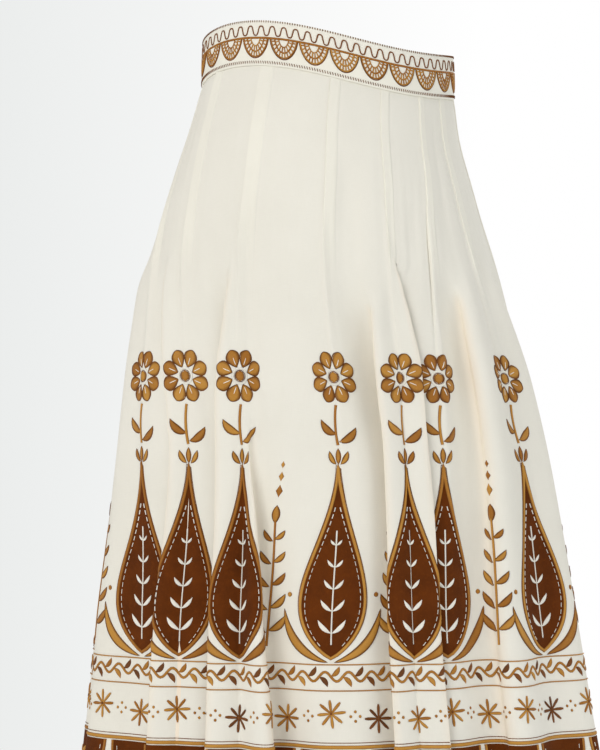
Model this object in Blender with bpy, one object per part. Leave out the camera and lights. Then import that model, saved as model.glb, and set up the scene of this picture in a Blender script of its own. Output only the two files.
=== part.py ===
"""A full embroidered skirt with fourteen knife pleats, as it hangs on its wearer's waist.

The cloth is stitched down from the waistband to the hips, then released into deep folds.
Each level of the cloth is an oval, and between each two pleats the spare width lies in one
fold, as deep as the cut width of the panel there asks. Metres, +Z up, the front faces -Y.
The origin is the middle of the waistband.
"""

from collections import namedtuple
from math import cos, pi, radians, sin

import bmesh
import bpy
import numpy as np

PLEATS = 14
CLOTH = 0.0012
BAND_CLOTH = 0.002
SEAM_GAP = 0.0003
COLUMNS_A_PLEAT = 14
SAMPLES_A_PLEAT = 121
FOLD_SEARCH_STEPS = 24
WIDEST_FOLD = 0.08

BAND_HALF_HEIGHT = 0.0207
BAND_SIDE = 0.1183
BAND_FRONT = 0.0937
BAND_BACK = 0.0998
BAND_FLARE = 0.026
BAND_COLUMN_DEGREES = 5.0
FRONT_RISE = 0.0061
SIDE_DROP = 0.0061
TWIST = 0.0112
TILT_ENDS = 0.36

TUCK_WIDTH = 0.017
TUCK_RISE = 0.0012
TUCK_EDGE = 0.0008
TUCK_ENDS = 0.155
TUCK_FADE = 0.06
FOLD_GROWTH = 0.13
FOLD_OPENS = 0.05

LEFT_SEAM = 0.25
RIGHT_SEAM = 8.25
BACK_SEAM = 11.5
SEAM_CLEAR = 0.1

ZIP_HALF_GAP = 0.0035
ZIP_GAP_ENDS = 0.165
ZIP_GAP_CLOSED = 0.185
ZIP_TOP = -0.018
TAPE_HALF_WIDTH = 0.012
TAPE_THICKNESS = 0.0008
TAPE_GAP = 0.0005
SLIDER_DROP = -0.010
SLIDER_HALF_WIDTH = 0.0028
SLIDER_DEPTH = 0.0034
SLIDER_HEIGHT = 0.009
BRIDGE_HALF_WIDTH = 0.0008
BRIDGE_HALF_LENGTH = 0.0032
BRIDGE_STRAP = 0.0008
BRIDGE_OPENING = 0.0016
BRIDGE_ROOT = 0.0005
PULL_HALF_WIDTH = 0.0026
PULL_HALF_THICKNESS = 0.00045
PULL_EYE_HALF_WIDTH = 0.0012
PULL_EYE_END = 0.0043
PULL_LENGTH = 0.018

# Each level of the cloth: its drop below the waist, the x of its two sides, and how far its
# front and back stand from the line between them.
Level = namedtuple("Level", "drop left right front back")
OUTLINE = (
    Level(0.021, -0.1178, 0.1178, 0.0932, 0.0993),
    Level(0.060, -0.1290, 0.1230, 0.104, 0.112),
    Level(0.105, -0.1440, 0.1350, 0.113, 0.127),
    Level(0.155, -0.1610, 0.1485, 0.120, 0.138),
    Level(0.200, -0.1730, 0.1620, 0.124, 0.145),
    Level(0.250, -0.1790, 0.1745, 0.127, 0.150),
    Level(0.300, -0.1845, 0.1870, 0.130, 0.154),
    Level(0.360, -0.1910, 0.2005, 0.133, 0.159),
    Level(0.430, -0.2010, 0.2145, 0.136, 0.166),
    Level(0.510, -0.2165, 0.2290, 0.141, 0.175),
    Level(0.600, -0.2270, 0.2440, 0.148, 0.186),
    Level(0.700, -0.2375, 0.2605, 0.156, 0.199),
    Level(0.835, -0.2520, 0.2805, 0.170, 0.216),
)

# The angle of the seven pleats in view, and of the back seam, from the front and in degrees.
PleatLine = namedtuple("PleatLine", "drop one two three four five six seven back_seam")
PLEAT_LINES = (
    PleatLine(0.021, -90.0, -62.0, -32.0, 0.5, 23.5, 44.5, 60.0, 180.0),
    PleatLine(0.080, -86.0, -60.0, -31.0, 0.4, 23.0, 43.0, 59.0, 180.0),
    PleatLine(0.157, -76.0, -53.5, -28.6, 0.2, 22.0, 38.0, 59.0, 180.0),
    PleatLine(0.353, -65.0, -42.5, -25.0, 0.9, 18.5, 30.0, 61.0, 184.0),
    PleatLine(0.487, -53.5, -39.5, -23.0, -1.0, 17.5, 26.5, 57.5, 188.0),
    PleatLine(0.835, -51.0, -37.5, -22.0, -2.0, 17.5, 27.5, 56.5, 190.0),
)

# The width of cloth that was cut for each pleat.
Cut = namedtuple("Cut", "drop width")
CUT = (
    Cut(0.021, 0.083),
    Cut(0.155, 0.094),
    Cut(0.300, 0.105),
    Cut(0.550, 0.126),
    Cut(0.835, 0.150),
)

# The fold that follows each pleat: where its middle lies between this pleat and the next,
# high up and low down, which side lies on top (1 the right, -1 the left), its depth against
# its overlap, the drop at which it starts, and the drops between which its middle moves.
Fold = namedtuple("Fold", "high low lean depth starts moves settles", defaults=(0.22, 0.50))
FOLDS = (
    Fold(0.40, 0.40, 1, 0.60, 0.16),
    Fold(0.57, 0.88, 1, 0.42, 0.16, 0.14, 0.36),
    Fold(0.88, 0.79, 1, 0.42, 0.17, 0.20, 0.32),
    Fold(0.10, 0.38, -1, 1.20, 0.30, 0.36, 0.68),
    Fold(0.62, 0.84, 1, 0.65, 0.19, 0.20, 0.36),
    Fold(0.13, 0.13, -1, 0.30, 0.155, 0.22, 0.63),
    Fold(0.45, 0.45, 1, 1.00, 0.17),
    Fold(0.55, 0.50, -1, 0.80, 0.16),
    Fold(0.50, 0.44, 1, 0.48, 0.17),
    Fold(0.60, 0.56, 1, 0.44, 0.16),
    Fold(0.35, 0.42, -1, 0.60, 0.18),
    Fold(0.30, 0.36, -1, 0.50, 0.20),
    Fold(0.45, 0.52, 1, 0.46, 0.17),
    Fold(0.50, 0.45, -1, 0.62, 0.16),
)

HIP_DROPS = (0.060, 0.110, 0.155, 0.190)
FULL_DROPS = (0.230, 0.280, 0.345, 0.420, 0.500, 0.585, 0.670, 0.755, 0.835)
SKIRT_DROPS = (BAND_HALF_HEIGHT + SEAM_GAP, *HIP_DROPS, *FULL_DROPS)
TAPE_DROPS = (ZIP_TOP, 0.0, BAND_HALF_HEIGHT, *HIP_DROPS)


def column(table, name):
    return np.array([getattr(row, name) for row in table])


def read(table, name, drop):
    """A column of a table at this drop, on a smooth curve through its rows."""
    knots = column(table, "drop")
    values = column(table, name)
    slopes = np.gradient(values, knots)
    drop = min(max(drop, knots[0]), knots[-1])
    i = min(int(np.searchsorted(knots, drop, side="right")) - 1, len(knots) - 2)
    step = knots[i + 1] - knots[i]
    t = (drop - knots[i]) / step
    start = (1 + 2 * t) * (1 - t) ** 2 * values[i] + t * (1 - t) ** 2 * step * slopes[i]
    end = t * t * (3 - 2 * t) * values[i + 1] + t * t * (t - 1) * step * slopes[i + 1]
    return start + end


def ease(value, start, end):
    """0 before start, 1 after end, and a smooth step between."""
    t = np.clip((value - start) / (end - start), 0.0, 1.0)
    return t * t * (3 - 2 * t)


def oval(centre, side, front, back, angle):
    """The points of one oval at these angles, with the directions along it and out of it."""
    half = np.where(np.cos(angle) > 0, front, back)
    place = np.stack([centre + side * np.sin(angle), -half * np.cos(angle)], -1)
    along = np.stack([side * np.cos(angle), half * np.sin(angle)], -1)
    along /= np.linalg.norm(along, axis=-1, keepdims=True)
    out = np.stack([along[..., 1], -along[..., 0]], -1)
    return place, along, out


def cloth_oval(drop, angle):
    left = read(OUTLINE, "left", drop)
    right = read(OUTLINE, "right", drop)
    front = read(OUTLINE, "front", drop)
    back = read(OUTLINE, "back", drop)
    return oval((left + right) / 2, (right - left) / 2, front, back, angle)


def band_oval(drop, angle, inset=0.0):
    widen = BAND_FLARE * drop - inset
    return oval(0.0, BAND_SIDE + widen, BAND_FRONT + widen, BAND_BACK + widen, angle)


def height(drop, angle):
    """The z of a point: the waist is tilted and twisted by the pose, and the hem hangs level."""
    facing = (1 + np.cos(angle)) / 2
    tilt = FRONT_RISE * np.cos(angle) - SIDE_DROP * np.sin(angle)
    tilt = tilt - TWIST * np.sin(2 * angle) * facing
    return -drop + tilt * (1 - ease(drop, 0.0, TILT_ENDS))


def pleat_angles(drop):
    """The angle of each pleat, from the one before the first to the fourteenth."""
    shown = [read(PLEAT_LINES, name, drop) for name in PleatLine._fields[1:]]
    marks = [BACK_SEAM - PLEATS, *range(1, 8), BACK_SEAM, 1 + PLEATS]
    angles = [shown[-1] - 360, *shown, shown[0] + 360]
    return np.radians(np.interp(np.arange(PLEATS + 1), marks, angles))


def lengths_along(points):
    steps = np.linalg.norm(np.diff(points, axis=-2), axis=-1)
    start = np.zeros(steps.shape[:-1] + (1,))
    return np.concatenate([start, np.cumsum(steps, axis=-1)], axis=-1)


def folded_level(drop):
    """One level of the cloth: fine points between each pleat and the next, laid in folds."""
    bounds = pleat_angles(drop)
    share = np.linspace(0.0, 1.0, SAMPLES_A_PLEAT)
    angle = bounds[:-1, None] + share * np.diff(bounds)[:, None]
    place, along, out = cloth_oval(drop, angle)
    turn = ease(drop, column(FOLDS, "moves"), column(FOLDS, "settles"))
    middle = column(FOLDS, "high") * (1 - turn) + column(FOLDS, "low") * turn
    middle = middle[:, None]
    phase = pi * (2 * share * (1 - middle) / (share * (1 - 2 * middle) + middle) - 1)
    overlap = (np.sin(phase) / 2 + np.sin(2 * phase) / 4) / 0.65
    rise = 0.35 * overlap + 0.65 * np.sin(phase) ** 3
    rise = rise * (column(FOLDS, "lean") * column(FOLDS, "depth"))[:, None]
    push = rise[..., None] * out - overlap[..., None] * along
    flat = lengths_along(place)[:, -1]
    spare = np.maximum(read(CUT, "width", drop) - flat, 0.0)
    starts = column(FOLDS, "starts")
    wanted = flat + spare * ease(drop, starts, starts + FOLD_GROWTH)
    low = np.zeros(PLEATS)
    high = np.full(PLEATS, WIDEST_FOLD)
    for _ in range(FOLD_SEARCH_STEPS):
        size = (low + high) / 2
        short = lengths_along(place + size[:, None, None] * push)[:, -1] < wanted
        low = np.where(short, size, low)
        high = np.where(short, high, size)
    size = low * ease(drop, starts, starts + FOLD_OPENS)
    return place + size[:, None, None] * push, angle


def level_at(drop, marks):
    """The points, outward directions and angles at these marks, counted in pleats."""
    points, angles = folded_level(drop)
    found = []
    for mark in marks:
        pleat = int(mark // 1)
        along = lengths_along(points[pleat % PLEATS])
        wanted = (mark - pleat) * along[-1]
        here = [np.interp(wanted, along, points[pleat % PLEATS][:, i]) for i in (0, 1)]
        turned = 2 * pi * (pleat // PLEATS)
        found.append((*here, np.interp(wanted, along, angles[pleat % PLEATS]) + turned, along[-1]))
    found = np.array(found)
    along = np.gradient(found[:, :2], axis=0)
    along /= np.linalg.norm(along, axis=1, keepdims=True)
    out = np.stack([along[:, 1], -along[:, 0]], -1)
    return found[:, :2], out, found[:, 2], found[:, 3]


def seam_gap(drop, seam):
    """Half of the gap at a seam: the back seam stays open beside the zip."""
    closed = SEAM_GAP / 2
    if seam % PLEATS != BACK_SEAM:
        return closed
    return closed + (ZIP_HALF_GAP - closed) * (1 - ease(drop, ZIP_GAP_ENDS, ZIP_GAP_CLOSED))


def panel_marks(start, end):
    """Where the columns of a panel stand, counted in pleats: evenly, and at each tuck's edge."""
    marks = []
    for step in range(int(start) * COLUMNS_A_PLEAT, (int(end) + 1) * COLUMNS_A_PLEAT):
        mark = step / COLUMNS_A_PLEAT
        if start + SEAM_CLEAR < mark < end - SEAM_CLEAR:
            marks.append(mark)
    return marks


def tuck_rise(drop, mark, width):
    """How far the stitched tuck lifts the cloth just right of its pleat's edge."""
    across = (mark % 1) * width
    held = 1 - ease(drop, TUCK_ENDS, TUCK_ENDS + TUCK_FADE)
    return TUCK_RISE * held * ((across > TUCK_EDGE / 2) & (across < TUCK_WIDTH))


def panel_rows(start, end):
    """The outer and inner points of each level of a panel between two seams."""
    inside = panel_marks(start, end)
    outer_rows = []
    inner_rows = []
    for drop in SKIRT_DROPS:
        _, _, _, widths = level_at(drop, [start, end])
        marks = [start + seam_gap(drop, start) / widths[0]]
        for mark in inside:
            marks.append(mark)
            if mark % 1 == 0:
                marks.append(mark + TUCK_EDGE / widths[0])
        marks.append(end - seam_gap(drop, end) / widths[1])
        marks = np.array(marks)
        points, out, angle, width = level_at(drop, marks)
        raised = points + out * tuck_rise(drop, marks, width)[:, None]
        z = height(drop, angle)[:, None]
        outer_rows.append(np.hstack([raised, z]))
        inner_rows.append(np.hstack([points - out * CLOTH, z]))
    return np.array(outer_rows), np.array(inner_rows)


def wall_mesh(name, outer, inner):
    """A closed wall between two grids of points, rows from the top and columns to the right."""
    rows, columns = outer.shape[:2]
    inside = rows * columns
    faces = []

    def quad(a, b, c, d):
        faces.append((a, b, c))
        faces.append((a, c, d))

    for r in range(rows - 1):
        for c in range(columns - 1):
            a = r * columns + c
            quad(a, a + columns, a + columns + 1, a + 1)
            faces.append((a + inside, a + columns + 1 + inside, a + columns + inside))
            faces.append((a + inside, a + 1 + inside, a + columns + 1 + inside))
    last = (rows - 1) * columns
    for c in range(columns - 1):
        quad(c, c + 1, c + 1 + inside, c + inside)
        quad(last + c, last + c + inside, last + c + 1 + inside, last + c + 1)
    for r in range(rows - 1):
        a = r * columns
        quad(a, a + inside, a + columns + inside, a + columns)
        b = a + columns - 1
        quad(b, b + columns, b + columns + inside, b + inside)
    mesh = bpy.data.meshes.new(name)
    points = np.concatenate([outer.reshape(-1, 3), inner.reshape(-1, 3)])
    mesh.from_pydata(points.tolist(), [], faces)
    mesh.update()
    return mesh


def material(name, colour, roughness, metallic=0.0):
    made = bpy.data.materials.get(name) or bpy.data.materials.new(name)
    made.use_nodes = True
    shader = made.node_tree.nodes["Principled BSDF"]
    shader.inputs["Base Color"].default_value = (*colour, 1.0)
    shader.inputs["Roughness"].default_value = roughness
    shader.inputs["Metallic"].default_value = metallic
    return made


def cotton():
    return material("cream cotton", (0.79, 0.76, 0.68), 0.85)


def band_cotton():
    return material("embroidered cotton band", (0.74, 0.64, 0.48), 0.85)


def tape_cloth():
    return material("zip tape", (0.80, 0.77, 0.70), 0.8)


def zip_metal():
    return material("zip metal", (0.62, 0.52, 0.34), 0.35, 1.0)


def add(name, mesh, finish):
    mesh.materials.append(finish)
    mesh.shade_smooth()
    mesh.set_sharp_from_angle(angle=radians(40))
    made = bpy.data.objects.new(name, mesh)
    bpy.context.scene.collection.objects.link(made)
    return made


def add_panel(name, start, end):
    """One panel of the skirt, between the seams at these pleats."""
    outer, inner = panel_rows(start, end)
    add(name, wall_mesh(name, outer, inner), cotton())


def band_angle(mark):
    """The angle at which a seam of the skirt meets the waistband."""
    bounds = pleat_angles(BAND_HALF_HEIGHT)
    turned = 2 * pi * (mark // PLEATS)
    return np.interp(mark % PLEATS, np.arange(PLEATS + 1), bounds) + turned


def add_band(name, start, end):
    """One piece of the contoured waistband, between the seams at these pleats."""
    first = band_angle(start) + seam_gap(0.0, start) / BAND_BACK
    last = band_angle(end) - seam_gap(0.0, end) / BAND_BACK
    columns = int((last - first) / radians(BAND_COLUMN_DEGREES)) + 2
    angle = np.linspace(first, last, columns)
    outer = []
    inner = []
    for drop in (-BAND_HALF_HEIGHT, 0.0, BAND_HALF_HEIGHT):
        z = height(drop, angle)[:, None]
        outer.append(np.hstack([band_oval(drop, angle)[0], z]))
        inner.append(np.hstack([band_oval(drop, angle, BAND_CLOTH)[0], z]))
    add(name, wall_mesh(name, np.array(outer), np.array(inner)), band_cotton())


def tape_back(drop, across):
    """A point on the inner side of the cloth behind the back seam, this far to its right."""
    if drop <= BAND_HALF_HEIGHT:
        angle = np.array([pi + across / BAND_SIDE])
        place, _, out = band_oval(drop, angle)
        depth = BAND_CLOTH
    else:
        angle = np.array([pi + across / read(OUTLINE, "right", drop)])
        place, _, out = cloth_oval(drop, angle)
        depth = CLOTH
    place = place[0] - out[0] * (depth + TAPE_GAP)
    return np.array([*place, height(drop, angle[0])]), np.array([*out[0], 0.0])


def add_tape():
    """The zip's tape, which lies behind the open part of the back seam."""
    outer = []
    inner = []
    for drop in TAPE_DROPS:
        row = [tape_back(drop, across) for across in np.linspace(-1, 1, 5) * TAPE_HALF_WIDTH]
        outer.append([point for point, _ in row])
        inner.append([point - out * TAPE_THICKNESS for point, out in row])
    add("zip_tape", wall_mesh("zip_tape", np.array(outer), np.array(inner)), tape_cloth())


def slider_place():
    """The middle of the slider's inner face."""
    point, _ = tape_back(SLIDER_DROP, 0.0)
    return point + np.array([0.0, SEAM_GAP, 0.0])


def box_mesh(name, low, high):
    mesh = bpy.data.meshes.new(name)
    shape = bmesh.new()
    bmesh.ops.create_cube(shape, size=1.0)
    middle = (np.array(low) + high) / 2
    size = np.array(high) - low
    for vertex in shape.verts:
        vertex.co = middle + np.array(vertex.co) * size
    shape.to_mesh(mesh)
    shape.free()
    return mesh


def plate_mesh(name, outline, half_thickness, axis):
    """An outline extruded both ways along an axis, with its points in the other two."""
    mesh = bpy.data.meshes.new(name)
    shape = bmesh.new()
    corners = []
    for u, v in outline:
        place = [u, v]
        place.insert(axis, -half_thickness)
        corners.append(shape.verts.new(place))
    face = shape.faces.new(corners)
    grown = bmesh.ops.extrude_face_region(shape, geom=[face])["geom"]
    move = [0.0, 0.0, 0.0]
    move[axis] = 2 * half_thickness
    bmesh.ops.translate(shape, vec=move, verts=[v for v in grown if isinstance(v, bmesh.types.BMVert)])
    bmesh.ops.recalc_face_normals(shape, faces=shape.faces)
    shape.to_mesh(mesh)
    shape.free()
    return mesh


def cutter(name, mesh):
    made = bpy.data.objects.new(name, mesh)
    bpy.context.scene.collection.objects.link(made)
    made.hide_render = True
    made.display_type = "WIRE"
    return made


def combine(base, other, operation):
    step = base.modifiers.new(other.name, "BOOLEAN")
    step.operation = operation
    step.object = other


def add_slider():
    """The slider, with the bridge that its pull hangs on."""
    x, y, z = slider_place()
    half_height = SLIDER_HEIGHT / 2
    body = box_mesh(
        "zip_slider",
        (x - SLIDER_HALF_WIDTH, y, z - half_height),
        (x + SLIDER_HALF_WIDTH, y + SLIDER_DEPTH, z + half_height),
    )
    slider = add("zip_slider", body, zip_metal())
    round_off = slider.modifiers.new("rounded edges", "BEVEL")
    round_off.width = 0.0007
    round_off.segments = 2
    face = y + SLIDER_DEPTH
    top = face + BRIDGE_OPENING + BRIDGE_STRAP
    bridge = box_mesh(
        "bridge",
        (x - BRIDGE_HALF_WIDTH, face - BRIDGE_ROOT, z - BRIDGE_HALF_LENGTH),
        (x + BRIDGE_HALF_WIDTH, top, z + BRIDGE_HALF_LENGTH),
    )
    combine(slider, cutter("bridge", bridge), "UNION")
    opening = box_mesh(
        "bridge opening",
        (x - 2 * BRIDGE_HALF_WIDTH, face, z - BRIDGE_HALF_LENGTH + BRIDGE_STRAP),
        (x + 2 * BRIDGE_HALF_WIDTH, face + BRIDGE_OPENING, z + BRIDGE_HALF_LENGTH - BRIDGE_STRAP),
    )
    combine(slider, cutter("bridge opening", opening), "DIFFERENCE")


def add_pull():
    """The pull tab, which turns about the bar of its eye inside the slider's bridge."""
    x, y, z = slider_place()
    hinge = bpy.data.objects.new("pull hinge", None)
    hinge.location = (x, y + SLIDER_DEPTH + BRIDGE_OPENING / 2, z)
    bpy.context.scene.collection.objects.link(hinge)
    top = PULL_HALF_THICKNESS
    turn = PULL_LENGTH - PULL_HALF_WIDTH
    outline = [(-PULL_HALF_WIDTH, top), (-PULL_HALF_WIDTH, -turn)]
    for step in range(1, 8):
        angle = pi * step / 8
        outline.append((-PULL_HALF_WIDTH * cos(angle), -turn - PULL_HALF_WIDTH * sin(angle)))
    outline += [(PULL_HALF_WIDTH, -turn), (PULL_HALF_WIDTH, top)]
    pull = add("zip_pull", plate_mesh("zip_pull", outline, PULL_HALF_THICKNESS, 1), zip_metal())
    pull.parent = hinge
    eye = box_mesh(
        "eye",
        (-PULL_EYE_HALF_WIDTH, -4 * PULL_HALF_THICKNESS, -PULL_EYE_END),
        (PULL_EYE_HALF_WIDTH, 4 * PULL_HALF_THICKNESS, -PULL_HALF_THICKNESS),
    )
    eye_cutter = cutter("eye", eye)
    eye_cutter.parent = hinge
    combine(pull, eye_cutter, "DIFFERENCE")


def main():
    for old in list(bpy.data.objects):
        bpy.data.objects.remove(old)
    add_panel("front", LEFT_SEAM, RIGHT_SEAM)
    add_panel("back_left", RIGHT_SEAM, BACK_SEAM)
    add_panel("back_right", BACK_SEAM, LEFT_SEAM + PLEATS)
    add_band("waistband_front", LEFT_SEAM, RIGHT_SEAM)
    add_band("waistband_back_left", RIGHT_SEAM, BACK_SEAM)
    add_band("waistband_back_right", BACK_SEAM, LEFT_SEAM + PLEATS)
    add_tape()
    add_slider()
    add_pull()


main()
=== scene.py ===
"""A full pleated cotton skirt with a fitted waistband, worked with leaves, flowers and borders.

The cloth follows the fold model of the solid part: each level is an oval, and between each two
pleats the spare width lies in one fold. Needlework is drawn flat, as on the cut cloth, and is laid
on the folded surface. Metres, +Z up, the front faces -Y, the waistband's middle is the origin.
"""

from collections import namedtuple
from math import atan, cos, pi, radians, sin

import bpy
import numpy as np
from bpy.props import FloatProperty, FloatVectorProperty, IntProperty, PointerProperty
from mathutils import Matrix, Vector


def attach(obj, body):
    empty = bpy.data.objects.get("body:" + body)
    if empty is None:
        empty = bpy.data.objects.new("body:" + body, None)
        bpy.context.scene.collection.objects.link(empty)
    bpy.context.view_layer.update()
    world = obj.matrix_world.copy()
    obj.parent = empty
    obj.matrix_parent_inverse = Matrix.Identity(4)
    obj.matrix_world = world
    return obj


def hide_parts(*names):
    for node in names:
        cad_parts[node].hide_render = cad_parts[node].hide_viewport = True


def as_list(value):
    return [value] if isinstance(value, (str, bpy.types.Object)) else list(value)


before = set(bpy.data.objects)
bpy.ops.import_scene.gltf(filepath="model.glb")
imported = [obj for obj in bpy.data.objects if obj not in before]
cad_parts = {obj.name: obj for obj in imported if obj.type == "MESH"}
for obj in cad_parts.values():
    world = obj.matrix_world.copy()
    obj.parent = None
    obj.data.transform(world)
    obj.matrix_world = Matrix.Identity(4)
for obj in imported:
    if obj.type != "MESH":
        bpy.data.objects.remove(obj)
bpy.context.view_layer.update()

bl_info = {
    "name": "Embroidered skirt",
    "version": (1, 0, 0),
    "blender": (4, 5, 0),
    "location": "View3D > Sidebar > Skirt",
    "description": "Builds a pleated skirt with needlework and an embroidered waistband",
    "category": "Object",
}

BODY = "skirt"

# The cloth: its pleats, its thickness, and how finely and how far a fold is looked for.
PLEATS = 14
CLOTH = 0.0012
BAND_CLOTH = 0.002
SEAM_GAP = 0.0003
SAMPLES_A_PLEAT = 121
FOLD_SEARCH_STEPS = 24
WIDEST_FOLD = 0.08

# The waistband's oval, how it widens downwards, and how the pose tilts and twists the waist.
BAND_HALF_HEIGHT = 0.0207
BAND_SIDE = 0.1183
BAND_FRONT = 0.0937
BAND_BACK = 0.0998
BAND_FLARE = 0.026
FRONT_RISE = 0.0061
SIDE_DROP = 0.0061
TWIST = 0.0112
TILT_ENDS = 0.36

# Where the stitched tucks end, over what drop a fold grows and opens, and its section.
TUCK_ENDS = 0.155
TUCK_FADE = 0.06
FOLD_GROWTH = 0.13
FOLD_OPENS = 0.05
OVERLAP_PEAK = 0.65
FOLD_SLOPE = 0.35

# The seams, counted in pleats.
LEFT_SEAM = 0.25
RIGHT_SEAM = 8.25
BACK_SEAM = 11.5

# The gap at the zip, and its tape.
ZIP_HALF_GAP = 0.0035
ZIP_GAP_ENDS = 0.165
ZIP_GAP_CLOSED = 0.185
ZIP_TOP = -0.018
TAPE_HALF_WIDTH = 0.012
TAPE_THICKNESS = 0.0008
TAPE_GAP = 0.0005
TAPE_END = 0.190

# Each level of the cloth: its drop below the waist, the x of its two sides, and how far its
# front and back stand from the line between them.
Level = namedtuple("Level", "drop left right front back")
OUTLINE = (
    Level(0.021, -0.1178, 0.1178, 0.0932, 0.0993),
    Level(0.060, -0.1290, 0.1230, 0.104, 0.112),
    Level(0.105, -0.1440, 0.1350, 0.113, 0.127),
    Level(0.155, -0.1610, 0.1485, 0.120, 0.138),
    Level(0.200, -0.1730, 0.1620, 0.124, 0.145),
    Level(0.250, -0.1790, 0.1745, 0.127, 0.150),
    Level(0.300, -0.1845, 0.1870, 0.130, 0.154),
    Level(0.360, -0.1910, 0.2005, 0.133, 0.159),
    Level(0.430, -0.2010, 0.2145, 0.136, 0.166),
    Level(0.510, -0.2165, 0.2290, 0.141, 0.175),
    Level(0.600, -0.2270, 0.2440, 0.148, 0.186),
    Level(0.700, -0.2375, 0.2605, 0.156, 0.199),
    Level(0.835, -0.2520, 0.2805, 0.170, 0.216),
)

# The angle of the seven pleats in view, and of the back seam, from the front and in degrees.
PleatLine = namedtuple("PleatLine", "drop one two three four five six seven back_seam")
PLEAT_LINES = (
    PleatLine(0.021, -90.0, -62.0, -32.0, 0.5, 23.5, 44.5, 60.0, 180.0),
    PleatLine(0.080, -86.0, -60.0, -31.0, 0.4, 23.0, 43.0, 59.0, 180.0),
    PleatLine(0.157, -76.0, -53.5, -28.6, 0.2, 22.0, 38.0, 59.0, 180.0),
    PleatLine(0.353, -65.0, -42.5, -25.0, 0.9, 18.5, 30.0, 61.0, 184.0),
    PleatLine(0.487, -53.5, -39.5, -23.0, -1.0, 17.5, 26.5, 57.5, 188.0),
    PleatLine(0.835, -51.0, -37.5, -22.0, -2.0, 17.5, 27.5, 56.5, 190.0),
)

# The width of cloth that was cut for each pleat.
Cut = namedtuple("Cut", "drop width")
CUT = (
    Cut(0.021, 0.083),
    Cut(0.155, 0.094),
    Cut(0.300, 0.105),
    Cut(0.550, 0.126),
    Cut(0.835, 0.150),
)

# The fold that follows each pleat: where its middle lies between this pleat and the next,
# high up and low down, which side lies on top (1 the right, -1 the left), its depth against
# its overlap, the drop at which it starts, and the drops between which its middle moves.
Fold = namedtuple("Fold", "high low lean depth starts moves settles", defaults=(0.22, 0.50))
FOLDS = (
    Fold(0.40, 0.40, 1, 0.60, 0.16),
    Fold(0.57, 0.88, 1, 0.42, 0.16, 0.14, 0.36),
    Fold(0.88, 0.79, 1, 0.42, 0.17, 0.20, 0.32),
    Fold(0.10, 0.38, -1, 1.20, 0.30, 0.36, 0.68),
    Fold(0.62, 0.84, 1, 0.65, 0.19, 0.20, 0.36),
    Fold(0.13, 0.13, -1, 0.30, 0.155, 0.22, 0.63),
    Fold(0.45, 0.45, 1, 1.00, 0.17),
    Fold(0.55, 0.50, -1, 0.80, 0.16),
    Fold(0.50, 0.44, 1, 0.48, 0.17),
    Fold(0.60, 0.56, 1, 0.44, 0.16),
    Fold(0.35, 0.42, -1, 0.60, 0.18),
    Fold(0.30, 0.36, -1, 0.50, 0.20),
    Fold(0.45, 0.52, 1, 0.46, 0.17),
    Fold(0.50, 0.45, -1, 0.62, 0.16),
)


def column(table, name):
    return np.array([getattr(row, name) for row in table])


def read(table, name, drop):
    """A column of a table at this drop, on a smooth curve through its rows."""
    knots = column(table, "drop")
    values = column(table, name)
    slopes = np.gradient(values, knots)
    drop = min(max(drop, knots[0]), knots[-1])
    i = min(int(np.searchsorted(knots, drop, side="right")) - 1, len(knots) - 2)
    step = knots[i + 1] - knots[i]
    t = (drop - knots[i]) / step
    start = (1 + 2 * t) * (1 - t) ** 2 * values[i] + t * (1 - t) ** 2 * step * slopes[i]
    end = t * t * (3 - 2 * t) * values[i + 1] + t * t * (t - 1) * step * slopes[i + 1]
    return start + end


def ease(value, start, end):
    """0 before start, 1 after end, and a smooth step between."""
    t = np.clip((value - start) / (end - start), 0.0, 1.0)
    return t * t * (3 - 2 * t)


def unit(vectors):
    return vectors / np.linalg.norm(vectors, axis=-1, keepdims=True)


def hump(distance, width):
    """1 at no distance, and falling smoothly to nothing on both sides."""
    return np.exp(-((distance / width) ** 2))


def index_of(value, low, high, count):
    """Where a value lies, as a fraction, in a row of this many entries from low to high."""
    return (value - low) / (high - low) * (count - 1)


def oval(centre, side, front, back, angle):
    """The points of one oval at these angles, with the directions along it and out of it."""
    half = np.where(np.cos(angle) > 0, front, back)
    place = np.stack([centre + side * np.sin(angle), -half * np.cos(angle)], -1)
    along = unit(np.stack([side * np.cos(angle), half * np.sin(angle)], -1))
    return place, along, np.stack([along[..., 1], -along[..., 0]], -1)


def cloth_oval(drop, angle):
    left, right, front, back = (read(OUTLINE, name, drop) for name in Level._fields[1:])
    return oval((left + right) / 2, (right - left) / 2, front, back, angle)


def band_oval(drop, angle, inset=0.0):
    widen = BAND_FLARE * drop - inset
    return oval(0.0, BAND_SIDE + widen, BAND_FRONT + widen, BAND_BACK + widen, angle)


def height(drop, angle):
    """The z of a point: the waist is tilted and twisted by the pose, and the hem hangs level."""
    facing = (1 + np.cos(angle)) / 2
    tilt = FRONT_RISE * np.cos(angle) - SIDE_DROP * np.sin(angle)
    tilt = tilt - TWIST * np.sin(2 * angle) * facing
    return -drop + tilt * (1 - ease(drop, 0.0, TILT_ENDS))


def lifted(flat, drop, angle):
    """The flat points of one level, at their height."""
    return np.column_stack([flat, height(drop, angle)])


def pleat_angles(drop):
    """The angle of each pleat, from the one before the first to the fourteenth."""
    shown = [read(PLEAT_LINES, name, drop) for name in PleatLine._fields[1:]]
    marks = [BACK_SEAM - PLEATS, *range(1, 8), BACK_SEAM, 1 + PLEATS]
    angles = [shown[-1] - 360, *shown, shown[0] + 360]
    return np.radians(np.interp(np.arange(PLEATS + 1), marks, angles))


def lengths_along(points):
    steps = np.linalg.norm(np.diff(points, axis=-2), axis=-1)
    start = np.zeros(steps.shape[:-1] + (1,))
    return np.concatenate([start, np.cumsum(steps, axis=-1)], axis=-1)


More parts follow.
